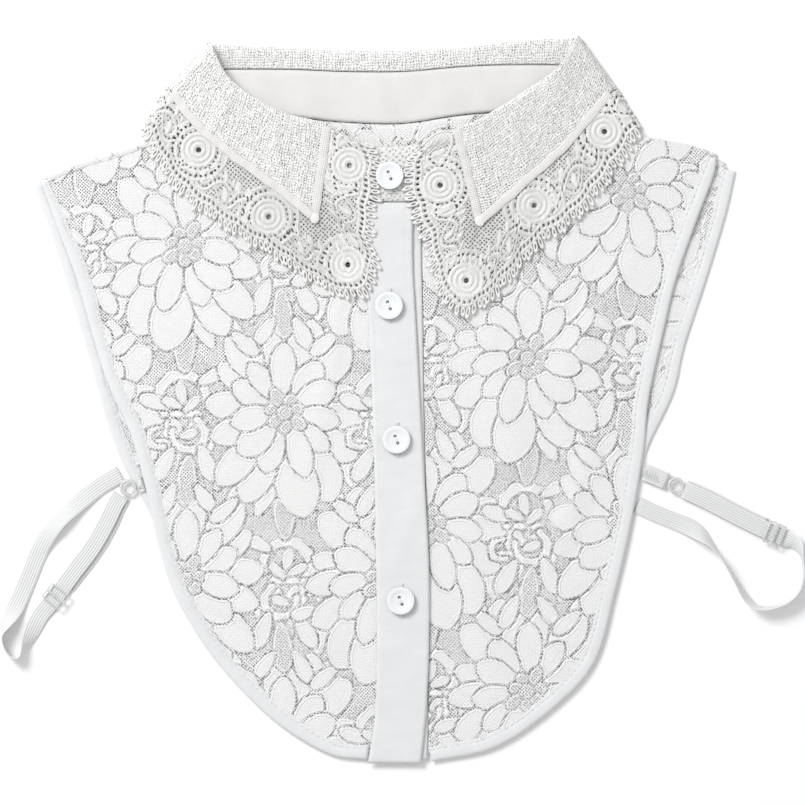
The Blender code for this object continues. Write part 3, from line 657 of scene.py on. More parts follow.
def ribbon(name, rows):
    """A closed flat ribbon along a route; returns the piece and its centre line."""
    line = smooth_line(rows, 1.5, [0, 1])
    tilt = np.radians(np.clip(line[:, 3], 0.0, 90.0))
    side = sideways(line) * np.cos(tilt)[:, None]
    half = np.column_stack([side, np.sin(tilt)]) * STRAP_WIDTH / 2.0
    rise = half[:, 2] + np.cos(tilt) * STRAP_THICK / 2.0
    centre = np.column_stack([line[:, :2], np.maximum(line[:, 2], 0.0) + rise])
    ahead = np.gradient(centre, axis=0)
    face = np.cross(ahead, half)
    face /= np.linalg.norm(face, axis=1)[:, None]
    turns = np.linspace(0.0, 2.0 * np.pi, 26, endpoint=False)
    wide = np.sign(np.cos(turns)) * np.abs(np.cos(turns)) ** 0.75
    deep = np.sign(np.sin(turns)) * np.abs(np.sin(turns)) ** 0.45 * STRAP_THICK / 2.0
    rings = centre[:, None] + half[:, None] * wide[None, :, None]
    rings = rings + face[:, None] * deep[None, :, None]
    count, around = rings.shape[:2]
    faces = []
    for i in range(count - 1):
        for j in range(around):
            here, after = i * around + j, i * around + (j + 1) % around
            faces.append((here + around, after + around, after, here))
    faces.append(tuple(range(around)))
    faces.append(tuple(range(count * around - 1, (count - 1) * around - 1, -1)))
    run = np.concatenate([[0.0], np.cumsum(np.linalg.norm(np.diff(centre, axis=0), axis=1))])
    uv = np.dstack(np.broadcast_arrays(run[:, None], wide[None] * STRAP_WIDTH / 2.0)).reshape(-1, 2)
    piece = store_mesh(name, rings.reshape(-1, 3), faces, elastic, uv)
    print(f"{name}: {run[-1]:.0f} mm long")
    return place(piece, "elastic", name), centre, run[-1]


strap_pieces = {name: ribbon(name, rows) for name, rows in STRAP_ROUTES.items()}


# %% [markdown]
# ## Rings and sliders
#
# A clear ring joins each strap to its tab, and a slider with a middle bar sets the
# length. The ring is a torus. The slider starts as a flat sheet: its face is cut in
# two, a window is inset in each half and opened, then it is thickened and the rim is
# bevelled.

# %% Rings
def just(piece):
    """Selects one object alone and makes it active."""
    bpy.ops.object.select_all(action="DESELECT")
    piece.select_set(True)
    bpy.context.view_layer.objects.active = piece
    return piece


def settle(piece, name, finish):
    """Names a piece, applies its place to its mesh and shades it."""
    just(piece)
    piece.name = FINE + name
    bpy.ops.object.transform_apply(location=True, rotation=True, scale=True)
    bpy.ops.object.shade_smooth_by_angle(angle=math.radians(40.0))
    piece.data.materials.clear()
    piece.data.materials.append(finish)
    return piece


RING_CENTRES = {"strap_ring_left": (-131.7, -42.1, 2.5), "strap_ring_right": (131.1, -41.1, 2.5)}
for name, centre in RING_CENTRES.items():
    bpy.ops.mesh.primitive_torus_add(
        major_segments=48,
        minor_segments=14,
        major_radius=3.2 * MM,
        minor_radius=0.85 * MM,
        location=[value * MM for value in centre],
    )
    place(settle(bpy.context.object, name, clear_plastic), "clear_plastic", name)
    print(name, "at", centre)

# %% Sliders
# x, y, underside z, turn in degrees.
SLIDER_PLACES = {
    "strap_slider_left": (-166.3, -94.2, 2.9, 52.0),
    "strap_slider_right": (178.4, -64.4, 2.9, -23.0),
}
SLIDER_SIZE = (8.6, 11.0, 1.3)
SLIDER_BAR = 1.4

for name, (x, y, z, turn) in SLIDER_PLACES.items():
    slider_top = z + SLIDER_SIZE[2] / 2.0
    bpy.ops.mesh.primitive_plane_add(size=1.0, location=(x * MM, y * MM, slider_top * MM))
    slider = just(bpy.context.object)
    slider.scale = (SLIDER_SIZE[0] * MM, SLIDER_SIZE[1] * MM, 1.0)
    bpy.ops.object.transform_apply(location=False, rotation=False, scale=True)
    bpy.ops.object.mode_set(mode="EDIT")
    bpy.ops.mesh.select_all(action="SELECT")
    bpy.ops.mesh.bisect(plane_co=(x * MM, y * MM, 0.0), plane_no=(1.0, 0.0, 0.0))
    bpy.ops.mesh.select_all(action="SELECT")
    bpy.ops.mesh.inset(thickness=SLIDER_BAR / 2.0 * MM, use_individual=True)
    bpy.ops.mesh.delete(type="FACE")
    bpy.ops.object.mode_set(mode="OBJECT")
    slider.rotation_euler = (0.0, 0.0, math.radians(turn))
    for kind, settings in (
        ("SOLIDIFY", {"thickness": SLIDER_SIZE[2] * 0.8 * MM, "offset": 0.0}),
        ("BEVEL", {"width": 0.32 * MM, "segments": 3, "limit_method": "ANGLE"}),
    ):
        modifier = slider.modifiers.new(kind.lower(), kind)
        for key, value in settings.items():
            setattr(modifier, key, value)
        bpy.ops.object.modifier_apply(modifier=modifier.name)
    place(settle(slider, name, clear_plastic), "clear_plastic", name)
    print(name, len(slider.data.polygons), "faces")

# %% Each strap's piece, centre line and length
for name, extras in (
    ("strap_left", ["strap_left_return", "strap_slider_left", "strap_ring_left"]),
    ("strap_right", ["strap_right_return", "strap_slider_right", "strap_ring_right"]),
):
    piece, centre, length = strap_pieces[name]
# %% [markdown]
# ## The flat layers
#
# The back lies on the table, the fronts lie on the back and the band lies on the
# fronts. All of them rise a little over the hidden back of the collar, and all follow
# the same few soft creases, so that the layers stay apart. The creases are listed one
# by one, each with its own length, width and height.

# %% Heights
GAP = 0.3
LACE = 1.0
BINDING = 1.3
COTTON = 1.2
BACK_Z = 0.0
FRONT_Z = 1.6
PLACKET_Z = FRONT_Z + LACE + GAP
COLLAR_LIFT = COTTON + GAP
COLLAR_CENTRE = (-5.0, 150.0)
COLLAR_REACH = (132.0, 56.0)
COLLAR_FADE = 0.5

# from x, y to x, y, width, height.
CREASES = (
    (-92.0, 52.0, -66.0, -12.0, 16.0, 0.9),
    (-118.0, 20.0, -84.0, -8.0, 11.0, 0.6),
    (-30.0, 44.0, -44.0, -34.0, 10.0, 0.7),
    (-70.0, -60.0, -36.0, -118.0, 15.0, 1.0),
    (-96.0, -92.0, -62.0, -108.0, 9.0, 0.6),
    (40.0, 28.0, 58.0, -46.0, 14.0, 0.9),
    (104.0, 62.0, 78.0, 14.0, 12.0, 0.8),
    (28.0, -70.0, 46.0, -136.0, 13.0, 0.8),
    (92.0, -22.0, 72.0, -78.0, 10.0, 0.7),
    (60.0, -98.0, 76.0, -128.0, 8.0, 0.5),
    (-8.0, 20.0, 6.0, -14.0, 9.0, 0.35),
    (8.0, -46.0, -6.0, -82.0, 8.0, 0.35),
)


def ground(x, y):
    """How far the flat layers rise at a place, over the collar and along the creases."""
    share_x = (x - COLLAR_CENTRE[0]) / COLLAR_REACH[0]
    share_y = (y - COLLAR_CENTRE[1]) / COLLAR_REACH[1]
    beyond = np.hypot(share_x, share_y) - 1.0
    height = COLLAR_LIFT * (1.0 - smoothstep(beyond / COLLAR_FADE))
    for x0, y0, x1, y1, width, rise in CREASES:
        run = np.array((x1 - x0, y1 - y0))
        share = ((x - x0) * run[0] + (y - y0) * run[1]) / run.dot(run)
        held = np.clip(share, 0.0, 1.0)
        away = np.hypot(x - x0 - held * run[0], y - y0 - held * run[1])
        crease_swell = 0.6 + 0.4 * np.sin(np.pi * held)
        height = height + rise * (1.0 - smoothstep(away / width)) * crease_swell
    return height


print("creases:", len(CREASES))

# %% [markdown]
# ## Drawing the flowers
#
# The lace carries large flowers with two rows of petals, one above the other, and
# between them arches of tape, buds and small leaves. It repeats in a half drop, as
# printed cloth often does. One repeat is charted here from two shapes: an egg, which
# serves as petal, leaf or bud, and a curved tape. Each shape gives the distance to its
# own edge. Laying one shape over another keeps a narrow gap round the upper one, and
# that gap is what shows as a dotted outline.

# %% Motif shapes
PETAL_GAP = 1.25


def egg(x, y, centre, turn, half_length, half_width, taper=0.28, point=0.10):
    """Distance inside an egg shape in millimetres; its narrow end is behind its turn."""
    c, s = math.cos(turn), math.sin(turn)
    p = (x - centre[0]) * c + (y - centre[1]) * s
    q = (y - centre[1]) * c - (x - centre[0]) * s
    breadth = half_width * np.clip(1.0 + taper * p / half_length, 0.35, 1.6)
    p = np.where(p > 0.0, p * (1.0 + point * np.abs(q) / breadth), p)
    reach = np.hypot(p / half_length, q / breadth)
    slope = np.hypot(p / half_length**2, q / breadth**2)
    return (1.0 - reach) * np.where(reach > 1e-3, reach / np.maximum(slope, 1e-6), half_width)


def tape_arc(x, y, centre, radius, width, start, sweep):
    """Distance inside a curved tape with round ends and a scalloped outer edge."""
    dx, dy = x - centre[0], y - centre[1]
    turn = np.mod(np.arctan2(dy, dx) - start, 2.0 * np.pi)
    share = np.clip(turn / sweep, 0.0, 1.0)
    wide = width * (0.55 + 0.45 * np.sin(np.pi * np.clip(share * 0.9 + 0.1, 0.0, 1.0)))
    beyond = np.hypot(dx, dy) - radius
    notch = np.where(beyond > 0.0, 0.9 * np.abs(np.sin(turn * radius / 2.2)), 0.0)
    ring = wide / 2.0 - np.abs(beyond) - notch
    ends = []
    for angle in (start, start + sweep):
        from_end = np.hypot(dx - radius * math.cos(angle), dy - radius * math.sin(angle))
        ends.append(width * 0.34 - from_end)
    return np.where(turn < sweep, ring, np.maximum(*ends))


def lay_over(field, shape, gap=PETAL_GAP):
    return np.maximum(shape, np.minimum(field, -shape - gap))


# %% One flower and its surroundings
def flower_reach(turn, row):
    """Radius of a flower's outer or inner row of petals; it is longer than it is wide."""
    wide, tall = ((36.5, 11.0), (25.5, 6.5))[row]
    droop = 3.5 if math.sin(turn) < 0.0 else 0.0
    return wide + (tall + droop * (1 - row)) * abs(math.sin(turn)) ** 1.6


# Leaves, buds and small blooms beside a flower: x, y, turn in degrees, half length,
# half width, stippled or not.
SPRIGS = (
    (48.0, 30.0, 92.0, 11.0, 5.0, 1),
    (38.5, 38.5, 62.0, 9.0, 3.6, 0),
    (58.0, 38.0, 118.0, 9.0, 3.6, 0),
    (48.5, 48.0, 90.0, 7.0, 3.2, 0),
    (37.5, -24.5, 250.0, 9.0, 3.7, 0),
    (47.0, -32.5, 275.0, 12.0, 4.6, 1),
    (58.0, -25.0, 300.0, 9.0, 3.7, 0),
    (38.5, -41.0, 235.0, 7.5, 3.2, 0),
    (56.5, -42.0, 296.0, 8.5, 3.4, 0),
    (26.0, 42.0, 40.0, 8.0, 3.2, 0),
    (17.5, 50.5, 75.0, 8.0, 3.2, 0),
    (-26.0, 43.0, 142.0, 8.0, 3.2, 0),
    (-17.0, 51.0, 105.0, 8.0, 3.2, 0),
    (0.0, 54.0, 90.0, 9.0, 4.0, 1),
    (-9.5, 62.0, 125.0, 7.0, 3.0, 0),
    (9.5, 62.0, 55.0, 7.0, 3.0, 0),
    (29.0, -47.0, -40.0, 8.0, 3.2, 0),
    (-29.0, -47.0, 220.0, 8.0, 3.2, 0),
    (62.5, 5.0, 20.0, 7.5, 3.2, 0),
    (35.5, 17.0, 150.0, 6.5, 2.9, 0),
    (-38.5, -16.0, 200.0, 6.5, 2.9, 0),
    (49.5, 9.0, 80.0, 6.0, 2.4, 0),
    (54.0, 4.5, 25.0, 5.0, 2.1, 0),
    (44.5, 4.0, 135.0, 5.0, 2.1, 0),
    (46.0, -10.5, 160.0, 4.4, 2.1, 0),
    (3.5, 73.0, 55.0, 4.6, 2.0, 0),
    (-3.5, 73.0, 125.0, 4.6, 2.0, 0),
)
# Curved tapes beside a flower: x, y, radius, width, start, sweep in degrees.
ARCHES = (
    (49.0, 7.0, 11.5, 5.4, -40.0, 235.0),
    (46.0, -10.5, 8.0, 4.4, 120.0, 250.0),
    (0.0, 71.0, 9.5, 4.6, -30.0, 240.0),
    (60.5, -12.0, 5.0, 3.2, -120.0, 220.0),
)


def draw_unit(x, y, petal, stipple):
    """Draws one repeat round the origin onto the petal and stipple values."""
    for cx, cy, radius, width, start, sweep in ARCHES:
        shape = tape_arc(x, y, (cx, cy), radius, width, math.radians(start), math.radians(sweep))
        petal = lay_over(petal, shape)
    for cx, cy, turn, length, width, dotted in SPRIGS:
        shape = egg(x, y, (cx, cy), math.radians(turn), length, width)
        petal = lay_over(petal, shape)
        stipple = np.where(shape > 0.9, dotted, np.where(shape > -0.4, 0.0, stipple))
    for row, count, start in ((0, 14, 0.12), (1, 11, 0.42)):
        for number in range(count):
            turn = start + 2.0 * np.pi * number / count + 0.07 * math.sin(2.4 * number + row)
            reach = flower_reach(turn, row) * (1.0 + 0.045 * math.sin(3.7 * number + 1.0))
            length = reach * (0.34, 0.38)[row] * (1.0 + 0.05 * math.sin(1.9 * number))
            width = reach * (0.175, 0.195)[row] * (1.0 + 0.14 * math.sin(5.1 * number))
            middle = (reach - length) * np.array((math.cos(turn), math.sin(turn)))
            leaning = turn + 0.12 * math.sin(2.9 * number + row)
            shape = egg(x, y, middle, leaning, length, width, 0.18, 0.16)
            petal = lay_over(petal, shape)
            stipple = np.where(shape > -0.4, 0.0, stipple)
    for number in range(7):
        turn = 2.0 * np.pi * number / 7 + 0.2
        reach = 8.6 + 2.0 * math.sin(2.0 * number) + 2.0 * abs(math.sin(turn))
        middle = (reach * 0.62 * math.cos(turn), reach * 0.62 * math.sin(turn))
        shape = egg(x, y, middle, turn, reach * 0.42, 2.5)
        petal = lay_over(petal, shape)
        stipple = np.where(shape > 0.5, 1.0, np.where(shape > -0.4, 0.0, stipple))
    heart = 3.2 - np.hypot(x, y)
    return lay_over(petal, heart), np.where(heart > 0.4, 1.0, stipple)


REPEAT = (96.0, 160.0)


def draw_lace(x, y, origin, mirrored=False):
    """The petal and stipple values of a half-drop repeat with a flower at the origin."""
    petal = np.full(len(x), -6.0)
    stipple = np.zeros(len(x))
    half_x, half_y = REPEAT[0] / 2.0, REPEAT[1] / 2.0
    first_unit, last_unit = (int((side - origin[0]) / half_x) for side in (x.min(), x.max()))
    columns = range(first_unit - 2, last_unit + 3)
    rows = range(int((y.min() - origin[1]) / half_y) - 2, int((y.max() - origin[1]) / half_y) + 3)
    units = [(i, j) for j in rows for i in columns if (i + j) % 2 == 0]
    for i, j in units:
        dx, dy = x - origin[0] - i * half_x, y - origin[1] - j * half_y
        near = np.hypot(dx, dy) < 92.0
        if near.any():
            flip = -1.0 if (j % 2 == 0) == mirrored else 1.0
            unit_fields = draw_unit(flip * dx[near], dy[near], petal[near], stipple[near])
            petal[near], stipple[near] = unit_fields
    return petal, stipple


# %% Edges of the body
# Armhole and hem edges from shoulder to band: x, y, width of the binding.
FRONT_LEFT_EDGE = (
    (-173.5, 105.0, 3.0),
    (-164.5, 80.0, 6.0),
    (-155.5, 56.0, 6.5),
    (-149.5, 34.0, 6.5),
    (-141.5, 8.5, 6.5),
    (-130.5, -16.5, 6.8),
    (-123.5, -41.0, 7.0),
    (-117.0, -70.0, 6.8),
    (-108.5, -95.0, 7.0),
    (-90.0, -124.5, 7.0),
    (-62.5, -153.0, 7.0),
    (-36.0, -169.5, 6.5),
    (-16.6, -172.6, 6.4),
)
FRONT_RIGHT_EDGE = (
    (150.5, 116.0, 4.5),
    (149.0, 107.0, 6.5),
    (140.0, 83.0, 6.8),
    (131.0, 57.0, 6.8),
    (124.5, 30.0, 6.5),
    (118.0, 0.0, 6.8),
    (115.6, -25.0, 7.0),
    (109.5, -60.0, 7.0),
    (102.0, -92.0, 7.0),
    (92.5, -125.0, 7.0),
    (74.0, -146.5, 7.0),
    (45.0, -166.5, 7.0),
    (14.0, -173.5, 7.0),
)
BACK_EDGE = (
    (-177.0, 103.5, 5.0),
    (-167.0, 75.0, 6.5),
    (-158.3, 47.0, 6.5),
    (-149.8, 18.5, 6.5),
    (-142.3, -9.0, 6.5),
    (-134.0, -31.0, 6.5),
    (-122.5, -52.0, 6.5),
    (-114.0, -72.0, 6.5),
    (-105.0, -94.0, 6.5),
    (-87.0, -122.5, 6.5),
    (-60.5, -150.0, 6.5),
    (-30.0, -167.0, 6.5),
    (5.0, -170.5, 6.5),
    (43.5, -163.0, 6.5),
    (71.5, -144.0, 6.5),
    (89.5, -122.5, 6.5),
    (98.5, -92.0, 6.5),
    (106.0, -62.0, 6.5),
    (112.0, -42.0, 6.5),
    (118.0, -22.5, 6.5),
    (130.0, 3.3, 6.5),
    (135.6, 26.5, 6.5),
    (145.6, 57.0, 6.5),
    (155.3, 89.3, 6.5),
    (159.8, 109.5, 6.5),
)
# Shoulder lines from the neck to the armhole: x, y.
SHOULDER_LEFT = (
    (-94.4, 137.0),
    (-118.0, 126.4),
    (-132.0, 121.0),
    (-144.0, 117.4),
    (-156.5, 113.4),
    (-168.0, 108.8),
    (-176.0, 105.0),
)
SHOULDER_RIGHT = (
    (86.2, 137.2),
    (109.2, 127.3),
    (122.0, 125.2),
    (136.0, 122.6),
    (147.0, 119.4),
    (154.6, 115.8),
    (159.6, 111.2),
)
# Bottom line of the collar stand, where the necks of the panels are sewn: x, y.
NECK_LEFT = (
    (-13.0, 95.6), (-35.0, 101.5), (-50.0, 106.5), (-66.0, 111.5),
    (-82.0, 122.0), (-90.0, 131.5), (-93.4, 137.2)
)
NECK_BACK = (
    (-93.2, 138.8), (-54.0, 136.0), (-28.0, 133.4), (0.0, 132.8),
    (25.0, 136.4), (45.0, 138.2), (84.6, 139.4)
)
NECK_RIGHT = (
    (84.8, 137.4), (82.0, 131.0), (73.0, 121.5), (58.5, 111.0),
    (44.0, 104.5), (31.0, 99.5), (12.0, 95.2)
)
# The button band and the strip under it: y, left edge, right edge.
PLACKET = (
    (94.6, -18.0, 5.0),
    (66.0, -17.2, 4.9),
    (45.0, -16.4, 6.0),
    (-16.0, -14.0, 9.3),
    (-77.0, -12.7, 12.6),
    (-115.0, -12.3, 12.8),
    (-145.0, -12.8, 11.7),
    (-160.0, -14.2, 10.4),
    (-174.2, -16.6, 8.8),
)
UNDER_PLACKET = (
    (94.4, -11.0, 9.0),
    (66.0, -10.6, 9.2),
    (45.0, -10.0, 9.6),
    (-16.0, -8.0, 10.4),
    (-77.0, -6.6, 11.9),
    (-115.0, -6.2, 12.2),
    (-145.0, -6.6, 12.0),
    (-160.0, -8.0, 12.2),
    (-172.6, -9.4, 11.8),
)
PLACKET_OVERLAP = 5.0
EDGE_STEP = 1.6


# %% Lace panels
def edge_line(rows, side, share):
    """The plan line a share of the binding's width inside an edge."""
    line = smooth_line(rows, EDGE_STEP, [0, 1])
    return line[:, :2] + side * sideways(line) * line[:, 2:3] * share


def inside_outline(x, y, outline):
    """Which points lie inside a closed outline."""
    found = np.zeros(len(x), bool)
    for (x0, y0), (x1, y1) in zip(outline, np.roll(outline, -1, axis=0)):
        if y0 != y1:
            crosses = (y0 > y) != (y1 > y)
            found ^= crosses & (x0 + (y - y0) * (x1 - x0) / (y1 - y0) > x)
    return found


def lace_panel(name, outline, base, spacing, origin, mirrored):
    """A thin shell of lace inside an outline, with its flowers raised from the net."""
    spaced = [b for a, b in zip(outline, outline[1:]) if np.hypot(*(b - a)) > 0.4]
    outline = np.array([outline[0], *spaced])
    low, high = outline.min(axis=0), outline.max(axis=0)
    rows = np.arange(low[1], high[1], spacing * 0.866)
    columns = np.arange(low[0], high[0], spacing)
    x = (columns[None, :] + spacing * 0.5 * (np.arange(len(rows)) % 2)[:, None]).ravel()
    y = np.repeat(rows, len(columns))
    kept = inside_outline(x, y, outline)
    x, y = x[kept], y[kept]
    for corner in outline:
        clear = np.hypot(x - corner[0], y - corner[1]) > 0.55 * spacing
        x, y = x[clear], y[clear]
    points = [Vector(corner) for corner in outline] + [Vector(pair) for pair in zip(x, y)]
    flat, _, triangles, *_ = delaunay_2d_cdt(points, [], [list(range(len(outline)))], 1, 1e-5)
    flat = np.array([tuple(point) for point in flat])
    triangles = np.array(triangles)
    corners = flat[triangles]
    doubled = np.cross(corners[:, 1] - corners[:, 0], corners[:, 2] - corners[:, 0])
    triangles[doubled < 0.0] = triangles[doubled < 0.0][:, ::-1]
    petal, stipple = draw_lace(flat[:, 0], flat[:, 1], origin, mirrored)
    raised = 0.28 * smoothstep((petal + 0.2) / 1.0) + 0.10 * smoothstep((petal - 1.5) / 5.0)
    lying = base + ground(flat[:, 0], flat[:, 1])
    top = np.column_stack([flat, lying + 0.45 + raised])
    bottom = np.column_stack([flat, lying + 0.12])
    count = len(flat)
    halves = np.concatenate([triangles[:, [0, 1]], triangles[:, [1, 2]], triangles[:, [2, 0]]])
    keys = halves[:, 0].astype(np.int64) * count + halves[:, 1]
    rim = halves[~np.isin(keys, halves[:, 1].astype(np.int64) * count + halves[:, 0])]
    walls = np.column_stack([rim[:, 0], rim[:, 0] + count, rim[:, 1] + count, rim[:, 1]])
    faces = [*triangles.tolist(), *(triangles[:, ::-1] + count).tolist(), *walls.tolist()]
    piece = store_mesh(
        name,
        np.vstack([top, bottom]),
        faces,
        lace,
        np.vstack([flat, flat]),
        {"petal": np.tile(petal, 2), "stipple": np.tile(stipple, 2)},
    )
    return place(piece, "floral_lace", name)


back_edge = edge_line(BACK_EDGE, 1, 0.55)
shoulder_left = smooth_line(SHOULDER_LEFT, EDGE_STEP)
shoulder_right = smooth_line(SHOULDER_RIGHT, EDGE_STEP)
neck_inset = np.array((0.0, -0.6))
seam = np.array((0.0, -2.0))
back_outline = [
    *(smooth_line(NECK_BACK, EDGE_STEP) + neck_inset),
    *(point for point in shoulder_right + seam if point[0] < back_edge[-1][0] - 1.0),
    *back_edge[::-1],
    *(point for point in shoulder_left[::-1] if point[0] > back_edge[0][0] + 1.0),
]
back_lace = lace_panel("back_panel", back_outline, BACK_Z, 1.75, (3.0, 114.0), True)

left_edge = edge_line(FRONT_LEFT_EDGE, 1, 0.55)
placket_line = smooth_line(PLACKET, EDGE_STEP, [0, 1])
overlap = placket_line[:, [1, 0]] + (PLACKET_OVERLAP, 0.0)
overlap = [point for point in overlap[::-1] if left_edge[-1][1] + 1.0 < point[1] < 92.0]
left_outline = [
    *(smooth_line(NECK_LEFT, EDGE_STEP) + neck_inset),
    *(point for point in shoulder_left + seam if point[0] > left_edge[0][0] + 1.0),
    *left_edge,
    *overlap,
]
front_left = lace_panel("front_panel_left", left_outline, FRONT_Z, 1.0, (-104.4, 73.8), False)

right_edge = edge_line(FRONT_RIGHT_EDGE, -1, 0.55)
under_line = smooth_line(UNDER_PLACKET, EDGE_STEP, [0, 1])
front_line = under_line[:, [2, 0]] + (GAP, 0.0)
front_line = [point for point in front_line if right_edge[-1][1] + 1.0 < point[1] < 94.0]
right_outline = [
    *(smooth_line(NECK_RIGHT, EDGE_STEP) + neck_inset),
    *front_line,
    *right_edge[::-1],
    *(point for point in shoulder_right[::-1] if point[0] < right_edge[0][0] - 1.0),
]
front_right = lace_panel("front_panel_right", right_outline, FRONT_Z, 0.97, (108.0, 100.0), True)
# %% [markdown]
# ## Bindings and shoulder seams
#
# The armholes and the hem are bound with a cotton strip cut on the bias, folded over
# the raw lace and sewn once along its inner edge. The fold outside is full and round,
# the sewn edge is thin and puckers a little between the stitches. Both come from the
# strip's thickness, which changes across it.

# %% Bindings
BINDING_STITCH = 1.3


def pucker(line, seed, size=0.16, wave=7.0):
    """Small uneven rises along a sewn line."""
    run = np.concatenate([[0.0], np.cumsum(np.linalg.norm(np.diff(line[:, :2], axis=0), axis=1))])
    return size * ripple(run, seed, wave)


def binding(name, rows, side, base, seed):
    line = smooth_line(rows, 1.5, [0, 1])
    inward = side * sideways(line)
    width = line[:, 2]
    shares = np.linspace(0.0, 1.0, 12)
    wave = pucker(line, seed)
    columns, walls = [], []
    for share in shares:
        drawn_in = 0.35 * pucker(line, seed + 2.0, 1.0, 23.0) * (share > 0.6)
        flat = line[:, :2] + inward * (width * share + drawn_in)[:, None]
        to_stitch = np.abs(width * (1.0 - share) - BINDING_STITCH)
        wall = BINDING * (0.70 + 0.42 * math.sin(math.pi * share**0.6))
        wall = wall - 0.34 * (1.0 - smoothstep(to_stitch / 1.5))
        wall = wall + wave * share**2
        columns.append(np.column_stack([flat, base + wall / 2.0 + 0.02 + ground(*flat.T)]))
        walls.append(wall)
    grid, thickness = np.stack(columns, axis=1), np.stack(walls, axis=1)
    if side < 0:
        grid, thickness = grid[:, ::-1], thickness[:, ::-1]
    piece = place(cloth(name, grid, thickness, cotton), "bias_cotton", name)
    sewn = line[:, :2] + inward * (width - BINDING_STITCH)[:, None]
    return piece, np.column_stack([sewn, base + BINDING * 0.78 + ground(*sewn.T)])


bound = {
    "back_binding": binding("back_binding", BACK_EDGE, 1, BACK_Z, 0.4),
    "front_binding_left": binding("front_binding_left", FRONT_LEFT_EDGE, 1, FRONT_Z, 1.7),
    "front_binding_right": binding("front_binding_right", FRONT_RIGHT_EDGE, -1, FRONT_Z, 3.1),
}

# %% Shoulder seams
SHOULDER_SEAM = 3.6


def shoulder_strip(name, line, base):
    """The doubled lace of a felled seam, below a shoulder line."""
    wave = pucker(line, 0.9, 0.12, 6.0)
    columns = []
    for share in np.linspace(0.0, 1.0, 7):
        flat = line - (0.0, SHOULDER_SEAM * share)
        rise = 0.35 * math.sin(math.pi * share) - 0.2 * math.exp(-(((share - 0.72) * 5.0) ** 2))
        cloth_height = base + LACE * 0.62 + rise + wave * share + ground(*flat.T)
        columns.append(np.column_stack([flat, cloth_height]))
    grid = np.stack(columns, axis=1)
    grid = grid if line[0, 0] > line[-1, 0] else grid[::-1]
    flat = grid.reshape(-1, 3)
    petal, stipple = draw_lace(flat[:, 0] * 1.0, flat[:, 1] + 9.0, (-104.4, 73.8))
    shape = grid.shape[:2]
    values = {"petal": np.maximum(petal, -0.9).reshape(shape), "stipple": stipple.reshape(shape)}
    return place(cloth(name, grid, 0.75, lace, values), "floral_lace", name)


def part_of(line, first, last):
    """The points of a line between two x places."""
    return line[(line[:, 0] > first) & (line[:, 0] < last)]


seam_left = shoulder_strip("shoulder_seam_left", part_of(shoulder_left, -171.5, -95.0), FRONT_Z)
seam_right = shoulder_strip("shoulder_seam_right", part_of(shoulder_right, 87.0, 152.0), BACK_Z)

# %% [markdown]
# ## The button band
#
# The band is a folded cotton strip with a line of stitches 2 mm inside each edge. The
# strip under it, which carries the buttons, shows as a narrow darker line on the
# right. Sewn cotton is never quite flat: shallow puckers run across it between the
# stitch lines, placed by a slow uneven wave.

# %% Bands
BAND_STITCH = 2.1


def band(name, rows, base, thickness, finish, seed, stitched):
    line = smooth_line(rows, 1.5, [0, 1])
    run = line[:, 0]
    columns, walls = [], []
    for share in np.linspace(0.0, 1.0, 19):
        across = line[:, 1] + (line[:, 2] - line[:, 1]) * share
        from_edge = np.minimum(across - line[:, 1], line[:, 2] - across)
        wall = np.full(len(line), thickness * 0.8)
        if stitched:
            wall -= 0.36 * (1.0 - smoothstep(np.abs(from_edge - BAND_STITCH) / 0.9))
            wall += 0.16 * np.exp(-from_edge)
        wave = 0.11 * ripple(run + 4.0 * share, seed, 21.0)
        wave = wave + 0.06 * ripple(run - 7.0 * share, seed + 2.0, 8.5)
        band_level = base + wall / 2.0 + 0.1 + wave + ground(across, run)
        columns.append(np.column_stack([across, run, band_level]))
        walls.append(wall)
    piece = cloth(name, np.stack(columns, axis=1), np.stack(walls, axis=1), finish)
    stitches = []
    for side, edge in ((1.0, line[:, 1]), (-1.0, line[:, 2])):
        sewn = edge + side * BAND_STITCH
        height = base + thickness * 0.62 + 0.1 + 0.11 * ripple(run, seed, 21.0) + ground(sewn, run)
        stitches.append(np.column_stack([sewn, run, height]))
    return place(piece, "cotton", name), stitches


placket, placket_stitches = band("button_placket", PLACKET, PLACKET_Z, COTTON, cotton, 0.6, True)
under_placket, _ = band("under_placket", UNDER_PLACKET, FRONT_Z, LACE, cotton, 2.2, False)
# %% [markdown]
# ## The collar
#
# A shirt collar is a stand round the neck and a fall that turns down over it. Laid
# flat, the whole collar is creased at the sides: the leaves lie on top and the back of
# the fall lies underneath, with the plain inside of the stand showing between. One
# table of cross-sections, from the left front end round the back to the right front
# end, describes it all. Each row has the bottom and the top of the stand, the roll line
# of the fall and the line where the lace edging starts.

